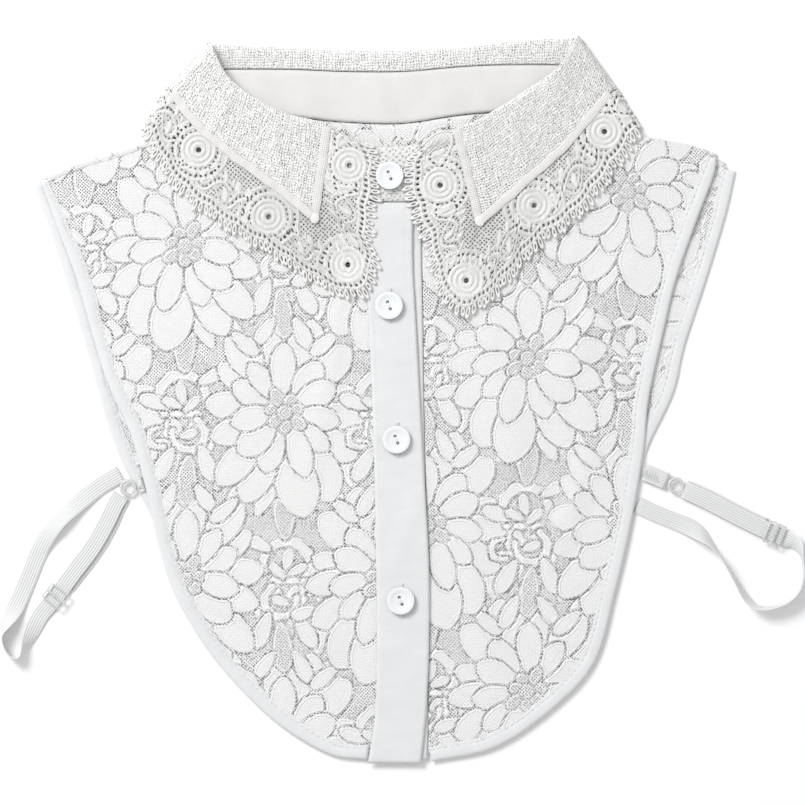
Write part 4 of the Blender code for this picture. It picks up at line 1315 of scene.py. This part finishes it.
# %% Collar sections
# bottom x, y, z | top x, y, z | roll x, y, height of the fall | edge x, y, z
COLLAR = (
    ((6.0, 94.9, 5.0), (9.0, 122.5, 6.8), None, None),
    ((-13.0, 95.6, 5.0), (-14.0, 121.2, 6.8), None, None),
    ((-35.0, 101.5, 4.1), (-37.0, 129.0, 6.9), (-36.0, 132.2, 8.9), (-42.0, 87.0, 4.9)),
    ((-50.0, 106.5, 3.9), (-47.0, 130.3, 7.1), (-46.0, 134.4, 9.2), (-52.0, 95.5, 5.2)),
    ((-66.0, 111.5, 3.9), (-59.0, 132.5, 7.2), (-58.0, 137.6, 9.5), (-66.0, 106.0, 5.5)),
    ((-82.0, 122.0, 3.9), (-76.5, 141.0, 7.2), (-75.0, 147.0, 9.5), (-84.0, 119.5, 5.7)),
    ((-90.0, 131.5, 3.9), (-84.5, 149.5, 7.0), (-85.0, 156.4, 9.5), (-98.0, 131.5, 5.9)),
    ((-93.4, 137.2, 3.7), (-89.2, 155.8, 6.3), (-91.0, 168.6, 8.2), (-110.2, 147.4, 5.4)),
    ((-94.4, 138.2, 2.9), (-90.2, 157.2, 4.3), (-92.0, 170.8, 4.4), (-111.4, 148.6, 3.0)),
    ((-93.2, 138.8, 2.1), (-89.0, 158.2, 2.1), (-90.6, 170.0, 0.6), (-109.8, 147.6, 0.6)),
    ((-54.0, 136.0, 2.1), (-54.0, 158.2, 2.1), (-54.0, 168.2, 0.6), (-56.0, 139.5, 0.6)),
    ((-28.0, 133.4, 2.1), (-28.0, 157.2, 2.1), (-28.0, 167.2, 0.6), (-28.0, 138.2, 0.6)),
    ((0.0, 132.8, 2.1), (0.0, 157.2, 2.1), (0.0, 167.2, 0.6), (0.0, 138.0, 0.6)),
    ((25.0, 136.4, 2.1), (27.0, 159.4, 2.1), (27.0, 168.4, 0.6), (28.0, 139.4, 0.6)),
    ((45.0, 138.2, 2.1), (48.0, 160.4, 2.1), (47.0, 170.8, 0.6), (51.0, 142.0, 0.6)),
    ((84.6, 139.4, 2.1), (80.0, 160.3, 2.1), (81.6, 173.4, 0.6), (99.0, 148.6, 0.6)),
    ((85.8, 138.4, 2.9), (81.2, 159.6, 4.3), (83.4, 174.2, 4.4), (100.8, 148.2, 3.0)),
    ((84.8, 137.4, 3.7), (80.0, 158.4, 6.3), (82.2, 171.6, 8.2), (99.4, 146.8, 5.4)),
    ((82.0, 131.0, 3.9), (74.5, 152.8, 7.0), (75.6, 160.2, 9.5), (87.5, 133.2, 5.9)),
    ((73.0, 121.5, 3.9), (63.2, 144.4, 7.2), (64.8, 151.6, 9.5), (75.0, 118.8, 5.7)),
    ((58.5, 111.0, 3.9), (45.4, 133.4, 7.2), (46.0, 139.6, 9.5), (60.0, 105.8, 5.5)),
    ((44.0, 104.5, 3.9), (34.4, 128.8, 7.0), (35.0, 133.2, 9.2), (47.0, 94.0, 5.2)),
    ((31.0, 99.5, 3.7), (25.0, 127.0, 6.6), (25.6, 130.8, 8.9), (37.0, 85.6, 4.9)),
    ((12.0, 95.2, 3.5), (13.0, 122.5, 5.2), None, None),
    ((-11.0, 95.8, 3.5), (-11.0, 119.5, 5.2), None, None),
)
SEAM_GAP = 1.5 * GAP


def spread(section, count):
    """A smooth curve through a section's points, at count even places."""
    fine = smooth_line(section, 0.2)
    share = np.linspace(0.0, len(fine) - 1.0, count)
    return np.column_stack([np.interp(share, np.arange(len(fine)), column) for column in fine.T])


def fall_section(row):
    """Points across the fall at one row: seam, rise, roll, fold and edge."""
    bottom, top, roll, edge = (np.array(point) for point in row)
    up = (top - bottom) / np.linalg.norm(top - bottom)
    sewn = top + up * SEAM_GAP
    crest = np.array((roll[0], roll[1], (top[2] + roll[2]) / 2.0))
    rise = sewn + 0.75 * (np.array((roll[0], roll[1], sewn[2])) - sewn)
    bend = roll + 0.06 * (np.array((edge[0], edge[1], roll[2])) - roll)
    belly = bend + 0.5 * (edge - bend) + (0.0, 0.0, 0.02 * (roll[2] - edge[2]))
    return [sewn, rise, crest, bend, belly, edge]


falls = [row for row in COLLAR if row[2]]
print("collar rows:", len(COLLAR), "of them with a fall:", len(falls))

# %% [markdown]
# ## Stand
#
# The stand's inside is plain cotton with a few soft puckers, and its outside is a small
# eyelet lace. Both are one shell here, and the faces at the two front ends take the
# lace.

# %% Stand
STAND_THICK = 0.9
# x, width and height of the soft puckers across the inside of the stand.
STAND_PUCKERS = (
    (-70.0, 7.0, 0.8),
    (-46.0, 5.0, 0.5),
    (-12.0, 7.0, 0.6),
    (19.0, 6.0, 0.45),
    (38.0, 8.0, 0.6),
    (63.0, 6.0, 0.8),
)

stand_rows = smooth_line([np.concatenate(row[:2]) for row in COLLAR], 1.5, [3, 4, 5])
STAND_COLUMNS = 18
depth = np.linspace(0.0, 1.0, STAND_COLUMNS)[None, :]
to_seam = stand_rows[:, :3] - stand_rows[:, 3:]
stand_grid = stand_rows[:, None, 3:] + to_seam[:, None] * depth[:, :, None]
back_rows = (stand_grid[:, 0, 2] < 2.6) & (stand_grid[:, 0, 1] > 140.0)
for x, width, rise in STAND_PUCKERS:
    lean = stand_grid[:, :, 0] - x - 6.0 * (depth - 0.5)
    swell = np.exp(-((lean / width) ** 2)) * (0.4 + 0.6 * np.sin(np.pi * depth))
    stand_grid[:, :, 2] += back_rows[:, None] * rise * swell
stand = cloth("collar_stand", stand_grid, STAND_THICK, band_cotton)
stand.data.materials.append(eyelet_lace)
count, width = stand_grid.shape[:2]
for face in stand.data.polygons:
    row = (face.vertices[0] % (count * width)) // width
    if not back_rows[row]:
        face.material_index = 1
place(stand, "cotton", "collar_stand")

# %% [markdown]
# ## Fall
#
# The fall is one long shell too. Gauze crinkles all over, in short uneven waves along
# the collar, and the leaves have a few longer soft folds from handling.

# %% Fall
FALL_THICK = 0.8
# from x, y to x, y, width, height of the longer folds on the leaves.
FALL_FOLDS = (
    (-62.0, 128.0, -58.0, 104.0, 4.5, 0.9),
    (-82.0, 146.0, -92.0, 128.0, 6.0, 0.7),
    (-45.0, 126.0, -50.0, 98.0, 3.5, 0.5),
    (-98.0, 160.0, -108.0, 150.0, 5.0, 0.6),
    (34.0, 124.0, 40.0, 100.0, 4.0, 0.6),
    (52.0, 132.0, 60.0, 112.0, 5.0, 0.8),
    (70.0, 146.0, 84.0, 128.0, 5.5, 0.7),
    (84.0, 160.0, 94.0, 150.0, 4.0, 0.5),
)


def fold_height(x, y, folds):
    height = np.zeros(x.shape)
    for x0, y0, x1, y1, width, rise in folds:
        run = np.array((x1 - x0, y1 - y0))
        share = np.clip(((x - x0) * run[0] + (y - y0) * run[1]) / run.dot(run), 0.0, 1.0)
        away = np.hypot(x - x0 - share * run[0], y - y0 - share * run[1])
        height += rise * (1.0 - smoothstep(away / width))
    return height


sections = np.array([np.concatenate(fall_section(row)) for row in falls])
fall_rows = smooth_line(sections, 1.4, [12, 13, 14])
fall_grid = np.stack([spread(row.reshape(-1, 3), 46) for row in fall_rows])
on_leaf = smoothstep((fall_grid[:, :, 2] - 4.0) / 1.5)
run = np.linspace(0.0, 1.4 * len(fall_grid), len(fall_grid))[:, None]
down = np.linspace(0.0, 50.0, 46)[None, :]
patches = 0.5 + 0.5 * np.sin(down * 0.55 + run * 0.13)
crinkle = 0.13 * patches * ripple(run + 0.6 * ripple(down, 1.0, 9.0) * 3.0, 0.3, 4.2)
crinkle = crinkle + 0.09 * ripple(down + 0.4 * run, 2.3, 3.7)
leaf_folds = fold_height(fall_grid[:, :, 0], fall_grid[:, :, 1], FALL_FOLDS)
fall_grid[:, :, 2] += on_leaf * (leaf_folds + crinkle)
fall = place(cloth("collar_fall", fall_grid, FALL_THICK, gauze), "gauze", "collar_fall")
# %% [markdown]
# ## Guipure edging
#
# The edging is worked in thick cord with nothing between: an outer cord, a ladder of
# small openings, a second cord, then leaves, waves and rosettes on a ground of small
# holes.
# It is drawn in the strip's own coordinates, the length along it and the distance from
# its outer edge, and the rosettes are placed round the leaves. As on the lace, the
# value stored is the distance inside a cord; inside a rosette it follows the rings, and
# the grooves between them are painted darker, as painted shade. The cords also get real
# thickness.

# %% Edging lines
# Outer edge past each row of the fall: x, y, z.
EDGING_OUTER = (
    (-28.0, 52.8, 4.6),
    (-44.0, 61.0, 4.0),
    (-62.0, 73.0, 4.2),
    (-86.0, 87.6, 5.2),
    (-108.0, 106.0, 5.4),
    (-120.2, 128.2, 5.8),
    (-121.6, 129.8, 3.2),
    (-119.8, 128.2, 0.6),
    (-60.0, 114.0, 0.6),
    (-28.0, 112.8, 0.6),
    (0.0, 112.6, 0.6),
    (30.0, 113.8, 0.6),
    (56.0, 116.0, 0.6),
    (109.6, 129.2, 0.6),
    (111.6, 130.6, 3.2),
    (110.2, 129.0, 5.8),
    (100.0, 113.5, 5.4),
    (83.0, 91.5, 5.2),
    (64.5, 77.5, 4.2),
    (50.0, 60.5, 4.0),
    (34.0, 45.6, 4.6),
)
# Up the front edge of each leaf: share of the way up the fall, outer edge x, y, z.
EDGING_FRONTS = (
    (
        (0.03, -19.0, 54.6, 5.4),
        (0.09, -15.0, 66.0, 5.4),
        (0.20, -18.0, 80.0, 5.6),
        (0.36, -16.4, 95.0, 6.7),
        (0.68, -14.9, 112.0, 8.1),
        (0.96, -18.0, 123.0, 8.6),
    ),
    (
        (0.03, 23.5, 48.0, 5.2),
        (0.09, 18.0, 60.0, 5.2),
        (0.20, 13.5, 78.0, 5.4),
        (0.36, 7.6, 93.0, 6.7),
        (0.68, 5.0, 111.0, 8.1),
        (0.96, 13.0, 122.5, 8.8),
    ),
)
ROSETTES = (
    (-97.7, 119.7), (-64.1, 87.7), (-26.2, 64.7), (-25.4, 112.2),
    (96.7, 128.5), (63.1, 93.2), (30.5, 57.2), (18.0, 102.8),
)
ROSETTE_RADIUS = 8.4
EYELET_RADIUS = 1.35
EDGING_GAP = 0.5


def edging_row(inner, outer):
    inner, outer = np.array(inner), np.array(outer)
    away = (outer - inner) / np.linalg.norm(outer - inner)
    return np.concatenate([inner + away * EDGING_GAP, outer])


def front_rows(front, row):
    edge, fold = np.array(row[3]), np.array(row[2])
    return [edging_row(edge + share * (fold - edge), outer) for share, *outer in front]


edging_table = front_rows(EDGING_FRONTS[0], falls[0])[::-1]
edging_table += [edging_row(row[3], outer) for row, outer in zip(falls, EDGING_OUTER)]
edging_table += front_rows(EDGING_FRONTS[1], falls[-1])
edging_rows = smooth_line(edging_table, 0.75, [3, 4, 5])
edging_steps = np.linalg.norm(np.diff(edging_rows[:, 3:], axis=0), axis=1)
edging_run = np.concatenate([[0.0], np.cumsum(edging_steps)])
print("edging length in mm:", round(edging_run[-1]))

# %% Edging pattern
EDGING_COLUMNS = 36
SCALLOP = 15.5
LADDER_PITCH = 2.7
CORDS = ((0.85, 0.85), (4.3, 0.7))
# Leaves on the ground of the edging, in its own length and depth: offset, depth,
# turn in degrees, half length, half width.
LEAVES = (
    (7.75, 11.5, 90.0, 3.6, 1.9),
    (0.6, 18.6, 60.0, 3.6, 1.7),
    (14.9, 18.6, 120.0, 3.6, 1.7),
    (7.75, 20.5, 90.0, 3.0, 1.6),
)
# Two double cords wind along it and cross: share of a wave at the start, depth, swing.
WAVES = ((0.0, 11.5, 5.4), (0.5, 11.5, 5.4))
WAVE_LENGTH = 2.0 * SCALLOP
WAVE_HOLES = 2.4

scallop = 1.5 * np.abs(np.sin(np.pi * edging_run / SCALLOP)) - 0.6
away = edging_rows[:, 3:] - edging_rows[:, :3]
reach = np.linalg.norm(away, axis=1)
outer = edging_rows[:, 3:] + away / reach[:, None] * scallop[:, None]
shares = np.linspace(0.0, 1.0, EDGING_COLUMNS)
across_edging = (outer - edging_rows[:, :3])[:, None]
edging_grid = edging_rows[:, None, :3] + across_edging * shares[None, :, None]
along = np.broadcast_to(edging_run[:, None], edging_grid.shape[:2])
from_edge = (reach + scallop)[:, None] * (1.0 - shares)[None, :]
from_tape = (reach + scallop)[:, None] * shares[None, :]

braid = np.full(along.shape, -3.0)
turns = np.floor(along / SCALLOP)
opening = np.full(along.shape, -1.0)
for offset, deep, turn, length, width in LEAVES:
    for step in (-1.0, 0.0, 1.0):
        place_along = along - (turns + step) * SCALLOP
        shape = egg(place_along, from_edge, (offset, deep), math.radians(turn), length, width, 0.35)
        braid = np.where(np.abs(shape) < 3.0, lay_over(braid, shape, 0.8), braid)
for start, deep, swing in WAVES:
    turn = 2.0 * np.pi * (along / WAVE_LENGTH + start)
    slope = swing * 2.0 * np.pi / WAVE_LENGTH * np.cos(turn)
    off_cord = (from_edge - deep - swing * np.sin(turn)) / np.hypot(1.0, slope)
    braid = np.maximum(braid, np.maximum(0.8 - np.abs(off_cord), 0.65 - np.abs(off_cord - 2.6)))
    spoke = np.abs(np.mod(along, WAVE_HOLES) - WAVE_HOLES / 2.0)
    hole = np.minimum(0.6 - spoke, 0.55 - np.abs(off_cord - 1.35))
    opening = np.where(braid < 0.25, np.maximum(opening, hole), opening)
for deep, half in CORDS:
    braid = np.maximum(braid, half - np.abs(from_edge - deep))
braid = np.maximum(braid, 0.9 - from_tape)
between = (from_edge > 1.2) & (from_edge < 4.0)
ladder = 0.62 - np.abs(np.mod(along, LADDER_PITCH) - LADDER_PITCH / 2.0)
braid = np.where(between, np.maximum(braid, ladder), braid)
in_ladder = np.minimum(np.minimum(from_edge - 1.75, 3.55 - from_edge), -ladder - 0.1)
opening = np.where(between, in_ladder, opening)

on_top = edging_grid[:, :, 2] > 3.4
to_rosette = np.full(along.shape, 99.0)
turn_about = np.zeros(along.shape)
for x, y in ROSETTES:
    distance = np.hypot(edging_grid[:, :, 0] - x, edging_grid[:, :, 1] - y)
    nearest = on_top & (distance < to_rosette)
    bearing = np.arctan2(edging_grid[:, :, 1] - y, edging_grid[:, :, 0] - x)
    turn_about = np.where(nearest, bearing, turn_about)
    to_rosette = np.where(nearest, distance, to_rosette)
# Two cords with a ladder between them follow round every rosette.
for ring in (ROSETTE_RADIUS + 2.4, ROSETTE_RADIUS + 6.0):
    braid = np.where(from_edge > 5.0, np.maximum(braid, 0.75 - np.abs(to_rosette - ring)), braid)
around_ring = (to_rosette > ROSETTE_RADIUS - 0.2) & (to_rosette < ROSETTE_RADIUS + 5.4)
around_ring = around_ring & (from_edge > 5.2)
in_first = to_rosette < ROSETTE_RADIUS + 2.4
spoke = np.mod(turn_about * (ROSETTE_RADIUS + np.where(in_first, 1.0, 4.2)), 2.5) - 1.25
middle_ring = ROSETTE_RADIUS + np.where(in_first, 0.75, 4.2)
hole_half = np.where(in_first, 0.4, 0.62)
ladder_hole = np.minimum(0.6 - np.abs(spoke), hole_half - np.abs(to_rosette - middle_ring))
missing = np.sin(1.5 * turn_about + 0.35 * to_rosette + 0.02 * along) > 0.35
ladder_hole = np.where(missing & ~in_first, -1.0, ladder_hole)
opening = np.where(around_ring, np.maximum(opening, ladder_hole), opening)
braid = np.where(around_ring & (ladder_hole < -0.1), np.maximum(braid, 0.2), braid)

# The rings set a rosette's braid value and its thickness. Through the braid value the finish paints
# the grooves between the rings darker: painted shade in the grooves.
rings = 0.5 + 0.5 * np.cos(2.0 * np.pi * (to_rosette - 2.7) / 2.5)
in_rosette = to_rosette < ROSETTE_RADIUS
braid = np.where(in_rosette, 0.12 + 0.55 * rings, braid)
opening = np.where(in_rosette, EYELET_RADIUS - to_rosette, opening)

raised = smoothstep((braid + 0.15) / 0.7)
past_eyelet = smoothstep((to_rosette - EYELET_RADIUS + 0.6) / 0.8)
raised = np.where(in_rosette, 0.25 + 1.15 * rings * past_eyelet, raised)
edging_thick = 0.35 + 0.95 * raised
EDGING_FOLDS = (
    (-70.0, 100.0, -76.0, 80.0, 6.0, 0.5),
    (-44.0, 80.0, -50.0, 66.0, 5.0, 0.4),
    (58.0, 84.0, 50.0, 66.0, 5.0, 0.4),
)
lie = fold_height(edging_grid[:, :, 0], edging_grid[:, :, 1], EDGING_FOLDS)
edging_grid[:, :, 2] += np.where(on_top, lie, 0.0)
edging_values = {"braid": braid, "eyelet": opening}
edging = cloth(
    "lace_edging", edging_grid, edging_thick, guipure, edging_values, rim=0.6, round_width=0.5
)
place(edging, "guipure", "lace_edging")

# %% [markdown]
# ## Picots and tapes
#
# Fine loops of thread, called picots, fringe the outer edge. One loop is a small torus
# drawn out lengthwise. It is copied along the edge, each copy turned outwards and a
# little different. A folded cotton tape covers the joint of gauze and edging: one runs
# down the front of each leaf and one along its lower side, and they cross at the point.

# %% Copies of a small shape
def take_shape(piece):
    """The points and faces of a modelled piece in millimetres, which is then removed."""
    points = np.array([tuple(vertex.co) for vertex in piece.data.vertices]) / MM
    faces = [tuple(face.vertices) for face in piece.data.polygons]
    bpy.data.objects.remove(piece, do_unlink=True)
    return points, faces


def scatter(name, shape, places, directions, sizes, finish):
    """Copies a shape to places, its x axis along directions (xyz), scaled by sizes."""
    points, faces = shape
    places, directions = np.asarray(places, float), np.asarray(directions, float)
    ahead = directions / np.linalg.norm(directions, axis=1)[:, None]
    side = np.column_stack([-ahead[:, 1], ahead[:, 0], np.zeros(len(ahead))])
    side /= np.linalg.norm(side, axis=1)[:, None]
    up = np.cross(ahead, side)
    scaled = points[None] * np.asarray(sizes, float)[:, None, :]
    moved = scaled[..., :1] * ahead[:, None] + scaled[..., 1:2] * side[:, None]
    moved = moved + scaled[..., 2:] * up[:, None] + places[:, None]
    all_faces = []
    for i in range(len(places)):
        all_faces += [tuple(corner + i * len(points) for corner in face) for face in faces]
    print(f"{name}: {len(places)} copies")
    return store_mesh(name, moved.reshape(-1, 3), all_faces, finish)


# %% Picots
PICOT_PITCH = 2.8
PICOT_LENGTH = 5.0

bpy.ops.object.select_all(action="DESELECT")
bpy.ops.mesh.primitive_torus_add(
    major_segments=14,
    minor_segments=5,
    major_radius=0.5 * MM,
    minor_radius=0.27 * MM,
    location=(0.0, 0.0, 0.0),
)
loop_shape = take_shape(bpy.context.object)
spots = np.arange(1.0, edging_run[-1] - 1.0, PICOT_PITCH)
places = np.column_stack([np.interp(spots, edging_run, column) for column in outer.T])
heading = (away / reach[:, None]).T
outwards = np.column_stack([np.interp(spots, edging_run, column) for column in heading])
numbers = np.arange(len(spots))
lengths = PICOT_LENGTH * (1.0 + 0.16 * np.sin(2.3 * numbers) + 0.1 * np.sin(5.1 * numbers))
lean = 0.16 * np.sin(1.7 * numbers + 0.8)
droop = -0.10 - 0.06 * np.sin(3.1 * numbers)
across, up_edge = outwards[:, 0], outwards[:, 1]
outwards = np.column_stack([across - lean * up_edge, up_edge + lean * across, droop])
kept = places[:, 2] > 3.3
places = places + outwards * (lengths / 2.0 - 0.5)[:, None]
sizes = np.column_stack([lengths / 1.2, np.full(len(lengths), 1.45), np.full(len(lengths), 1.5)])
picots = scatter(
    "edging_picots", loop_shape, places[kept], outwards[kept], sizes[kept], loop_thread
)
place(picots, "guipure")

# %% Tapes
TAPE_WIDTH = 4.2
TAPE_RISE = 0.95


def tape(name, points, node, seed):
    line = smooth_line(points, 1.2)
    side = sideways(line)
    wave = pucker(line, seed, 0.12, 9.0)
    columns = []
    for share in np.linspace(-1.0, 1.0, 11):
        waver = 0.25 * pucker(line, seed + 1.0, 1.0, 17.0)[:, None]
        flat = line[:, :2] + side * (TAPE_WIDTH / 2.0 * share + waver)
        height = line[:, 2] + TAPE_RISE - 0.3 + 0.25 * (1.0 - share * share) + 1.4 * wave
        columns.append(np.column_stack([flat, height]))
    return place(cloth(name, np.stack(columns[::-1], axis=1), 0.7, tape_cotton), "cotton", node)


for side, leaf in (("left", falls[:6]), ("right", falls[-6:][::-1])):
    corner, fold = np.array(leaf[0][3]), np.array(leaf[0][2])
    node = f"collar_tape_{side}"
    down_front = [corner + share * (fold - corner) for share in (0.97, 0.7, 0.4, 0.08, -0.04)]
    along_edge = [np.array(row[3]) for row in leaf[1:]]
    along_edge = [corner + 0.1 * (along_edge[0] - corner) + (0.0, 0.0, 0.7), *along_edge]
    tape(f"{node}_front", down_front, node, 0.5)
    tape(f"{node}_lower", along_edge, node, 2.5)
    bpy.ops.mesh.primitive_uv_sphere_add(
        segments=16, ring_count=8, radius=1.0 * MM, location=(0.0, 0.0, 0.0)
    )
    knot_shape = take_shape(bpy.context.object)
    knot_place = corner + (0.0, 0.0, TAPE_RISE + 0.55)
    knot = scatter(
        f"{node}_end", knot_shape, [knot_place], [fold - corner], [(2.7, 2.3, 0.55)], tape_cotton
    )
    place(knot, "cotton")

# %% [markdown]
# ## Buttons
#
# The four buttons are turned from a disc: a raised rim round a shallow dish with two
# holes. One is modelled and copied. The disc's top face is inset and let down twice,
# its edges are bevelled, and two pins are cut through with a Boolean.

# %% Buttons
BUTTON_RADIUS = 6.6
BUTTON_THICK = 2.2
HOLE_OFFSET = 1.6
# Centres: x, y, height of the cloth below.
BUTTONS = ((-6.2, 107.4, 6.6), (-6.5, 45.2, 4.1), (-2.9, -19.1, 4.1), (-0.9, -96.3, 4.1))

bpy.ops.object.select_all(action="DESELECT")
bpy.ops.mesh.primitive_cylinder_add(
    vertices=36,
    radius=BUTTON_RADIUS * MM,
    depth=BUTTON_THICK * MM,
    location=(0.0, 0.0, BUTTON_THICK / 2.0 * MM),
)
model = just(bpy.context.object)
bpy.ops.object.transform_apply(location=True, rotation=False, scale=False)
for face in model.data.polygons:
    face.select = face.normal.z > 0.9
for edge in model.data.edges:
    edge.select = all(model.data.vertices[i].co.z > 0.9 * BUTTON_THICK * MM for i in edge.vertices)
bpy.ops.object.mode_set(mode="EDIT")
bpy.ops.mesh.select_mode(type="FACE")
for width, drop in ((0.5, -0.05), (1.0, -0.1), (0.8, 0.42), (1.1, 0.2)):
    bpy.ops.mesh.inset(thickness=width * MM, use_individual=True)
    bpy.ops.transform.translate(value=(0.0, 0.0, -drop * MM))
bpy.ops.object.mode_set(mode="OBJECT")
for sign in (-1.0, 1.0):
    bpy.ops.mesh.primitive_cylinder_add(
        vertices=14,
        radius=0.8 * MM,
        depth=9.0 * MM,
        location=(-0.4 * sign * HOLE_OFFSET * MM, sign * HOLE_OFFSET * MM, 0.0),
    )
    pin = bpy.context.object
    just(model)
    cut = model.modifiers.new("thread hole", "BOOLEAN")
    cut.operation = "DIFFERENCE"
    cut.object = pin
    bpy.ops.object.modifier_apply(modifier=cut.name)
    bpy.data.objects.remove(pin, do_unlink=True)
rounding = model.modifiers.new("rounded rim", "BEVEL")
rounding.width = 0.35 * MM
rounding.segments = 3
rounding.limit_method = "ANGLE"
rounding.angle_limit = math.radians(50.0)
bpy.ops.object.modifier_apply(modifier=rounding.name)
print("button faces:", len(model.data.polygons))

bpy.ops.mesh.primitive_uv_sphere_add(
    segments=6, ring_count=5, radius=1.0 * MM, location=(0.0, 0.0, 0.0)
)
stitch_shape = take_shape(bpy.context.object)
for number, (x, y, z) in enumerate(BUTTONS, 1):
    base = z + GAP + 0.1 + float(ground(np.array(x), np.array(y))) * (z < 6.0)
    button = model.copy()
    button.data = model.data.copy()
    bpy.context.scene.collection.objects.link(button)
    button.location = (x * MM, y * MM, base * MM)
    place(settle(button, f"button_{number}", button_plastic), "button", f"button_{number}")
    run = np.array((-0.4, 1.0, 0.0)) * HOLE_OFFSET
    bars = [(x + shift, y, base + BUTTON_THICK - 0.42) for shift in (-0.28, 0.0, 0.28)]
    sewn = scatter(
        f"button_thread_{number}", stitch_shape, bars, [run] * 3, [(1.75, 0.2, 0.3)] * 3, thread
    )
    place(sewn, "cotton")
bpy.data.objects.remove(model, do_unlink=True)

# %% [markdown]
# ## Stitches
#
# Sewing shows as short rounded dashes that sink a little into the cloth. One stitch is
# a small stretched sphere, copied along every sewn line. A buttonhole is the same
# stitch laid crosswise, very close, in a narrow upright bar behind each button.

# %% Stitches
STITCH_PITCH = 3.1
STITCH_SIZE = (1.05, 0.24, 0.22)


def sew(name, lines, slot, pitch=STITCH_PITCH, size=STITCH_SIZE):
    places, directions = [], []
    for line in lines:
        even = smooth_line(line, pitch)
        places.append(even[:-1] * 0.5 + even[1:] * 0.5)
        directions.append(np.diff(even, axis=0))
    places, directions = np.vstack(places), np.vstack(directions)
    sewn_row = scatter(name, stitch_shape, places, directions, [size] * len(places), thread)
    return place(sewn_row, slot)


def thinned(line, every=6):
    return np.vstack([line[:-1:every], line[-1:]])


sew("placket_stitches", [thinned(line) for line in placket_stitches], "cotton")
for name, (_, line) in bound.items():
    sew(f"{name}_stitches", [thinned(line)], "bias_cotton")
stand_front = np.column_stack([stand_rows[:, :2], stand_rows[:, 2] + STAND_THICK / 2.0])
up_stand = stand_rows[:, 3:] - stand_rows[:, :3]
stand_front += up_stand / np.linalg.norm(up_stand, axis=1)[:, None] * 1.8
stand_front[:, 2] += 0.05
first_fold = int(np.argmin(stand_rows[:, 0]))
sew("stand_stitches", [thinned(stand_front[:first_fold])], "cotton", 2.6)

holes_at, holes_along = [], []
for x, y, z in BUTTONS:
    for step in np.linspace(-8.2, 8.2, 38):
        lies_at = z + 0.05 + float(ground(np.array(x), np.array(y))) * (z < 6.0)
        holes_at.append((x + 0.3, y + step, lies_at))
        holes_along.append((1.0, 0.12 * math.sin(step * 9.0), 0.0))
hole_sizes = [(1.35, 0.26, 0.3)] * len(holes_at)
buttonholes = scatter("buttonholes", stitch_shape, holes_at, holes_along, hole_sizes, thread)
place(buttonholes, "cotton")

# The strap ends are sewn to the binding with a zigzag.
zigzag = [(115.2 + 0.62 * i, -34.5 - 0.25 * i + (2.6 if i % 2 else -2.6), 2.75) for i in range(13)]
zigzag_left = [
    (-125.2 - 0.3 * i, -40.3 - 0.1 * i + (2.6 if i % 2 else -2.6), 2.75) for i in range(5)
]
middles = [np.add(a, b) / 2.0 for line in (zigzag, zigzag_left) for a, b in zip(line, line[1:])]
runs = [np.subtract(b, a) for line in (zigzag, zigzag_left) for a, b in zip(line, line[1:])]
zigzag_sizes = [(2.7, 0.2, 0.2)] * len(middles)
place(scatter("strap_zigzag", stitch_shape, middles, runs, zigzag_sizes, thread), "elastic")

# %% [markdown]


# %% [markdown]
# ## Floor and light
#
# White on white only shows by its shade. The floor is a plain pale table, just bright
# enough to disappear. Most light comes from all round, and one large soft lamp at the
# upper left gives the petals, cords and buttons a faint shadow to the lower right.

# %% Floor and light
bpy.context.scene.view_settings.view_transform = "Standard"

bpy.ops.mesh.primitive_plane_add(size=4.0, location=(0.0, 0.0, -0.0002))
floor = bpy.context.object
floor.name = "table_top"
floor_finish, floor_tree, floor_shader = new_material("table top", (0.95, 0.95, 0.95), 0.9)
floor_cloud = add_node(
    floor_tree, "ShaderNodeTexNoise", {"Vector": millimetres(floor_tree, "object"), "Scale": 0.01}
).outputs["Fac"]
tint(floor_tree, floor_shader, floor_cloud, (0.975, 0.975, 0.975), (0.985, 0.985, 0.985))
floor.data.materials.append(floor_finish)

world = bpy.data.worlds.new("studio")
bpy.context.scene.world = world
world.use_nodes = True
world.node_tree.nodes["Background"].inputs["Color"].default_value = (1.0, 1.0, 1.0, 1.0)
world.node_tree.nodes["Background"].inputs["Strength"].default_value = 0.635

LAMP_PLACE = (-1.0, 1.0, 1.5)
bpy.ops.object.light_add(type="AREA", location=LAMP_PLACE)
lamp = bpy.context.object
lamp.name = "soft lamp"
lamp.data.shape = "DISK"
lamp.data.size = 0.9
lamp.data.energy = 30.0
lamp.rotation_euler = (-Vector(LAMP_PLACE)).to_track_quat("-Z", "Y").to_euler()
print("lamp power in watts:", lamp.data.energy)

# %% Last scene update
bpy.context.view_layer.update()
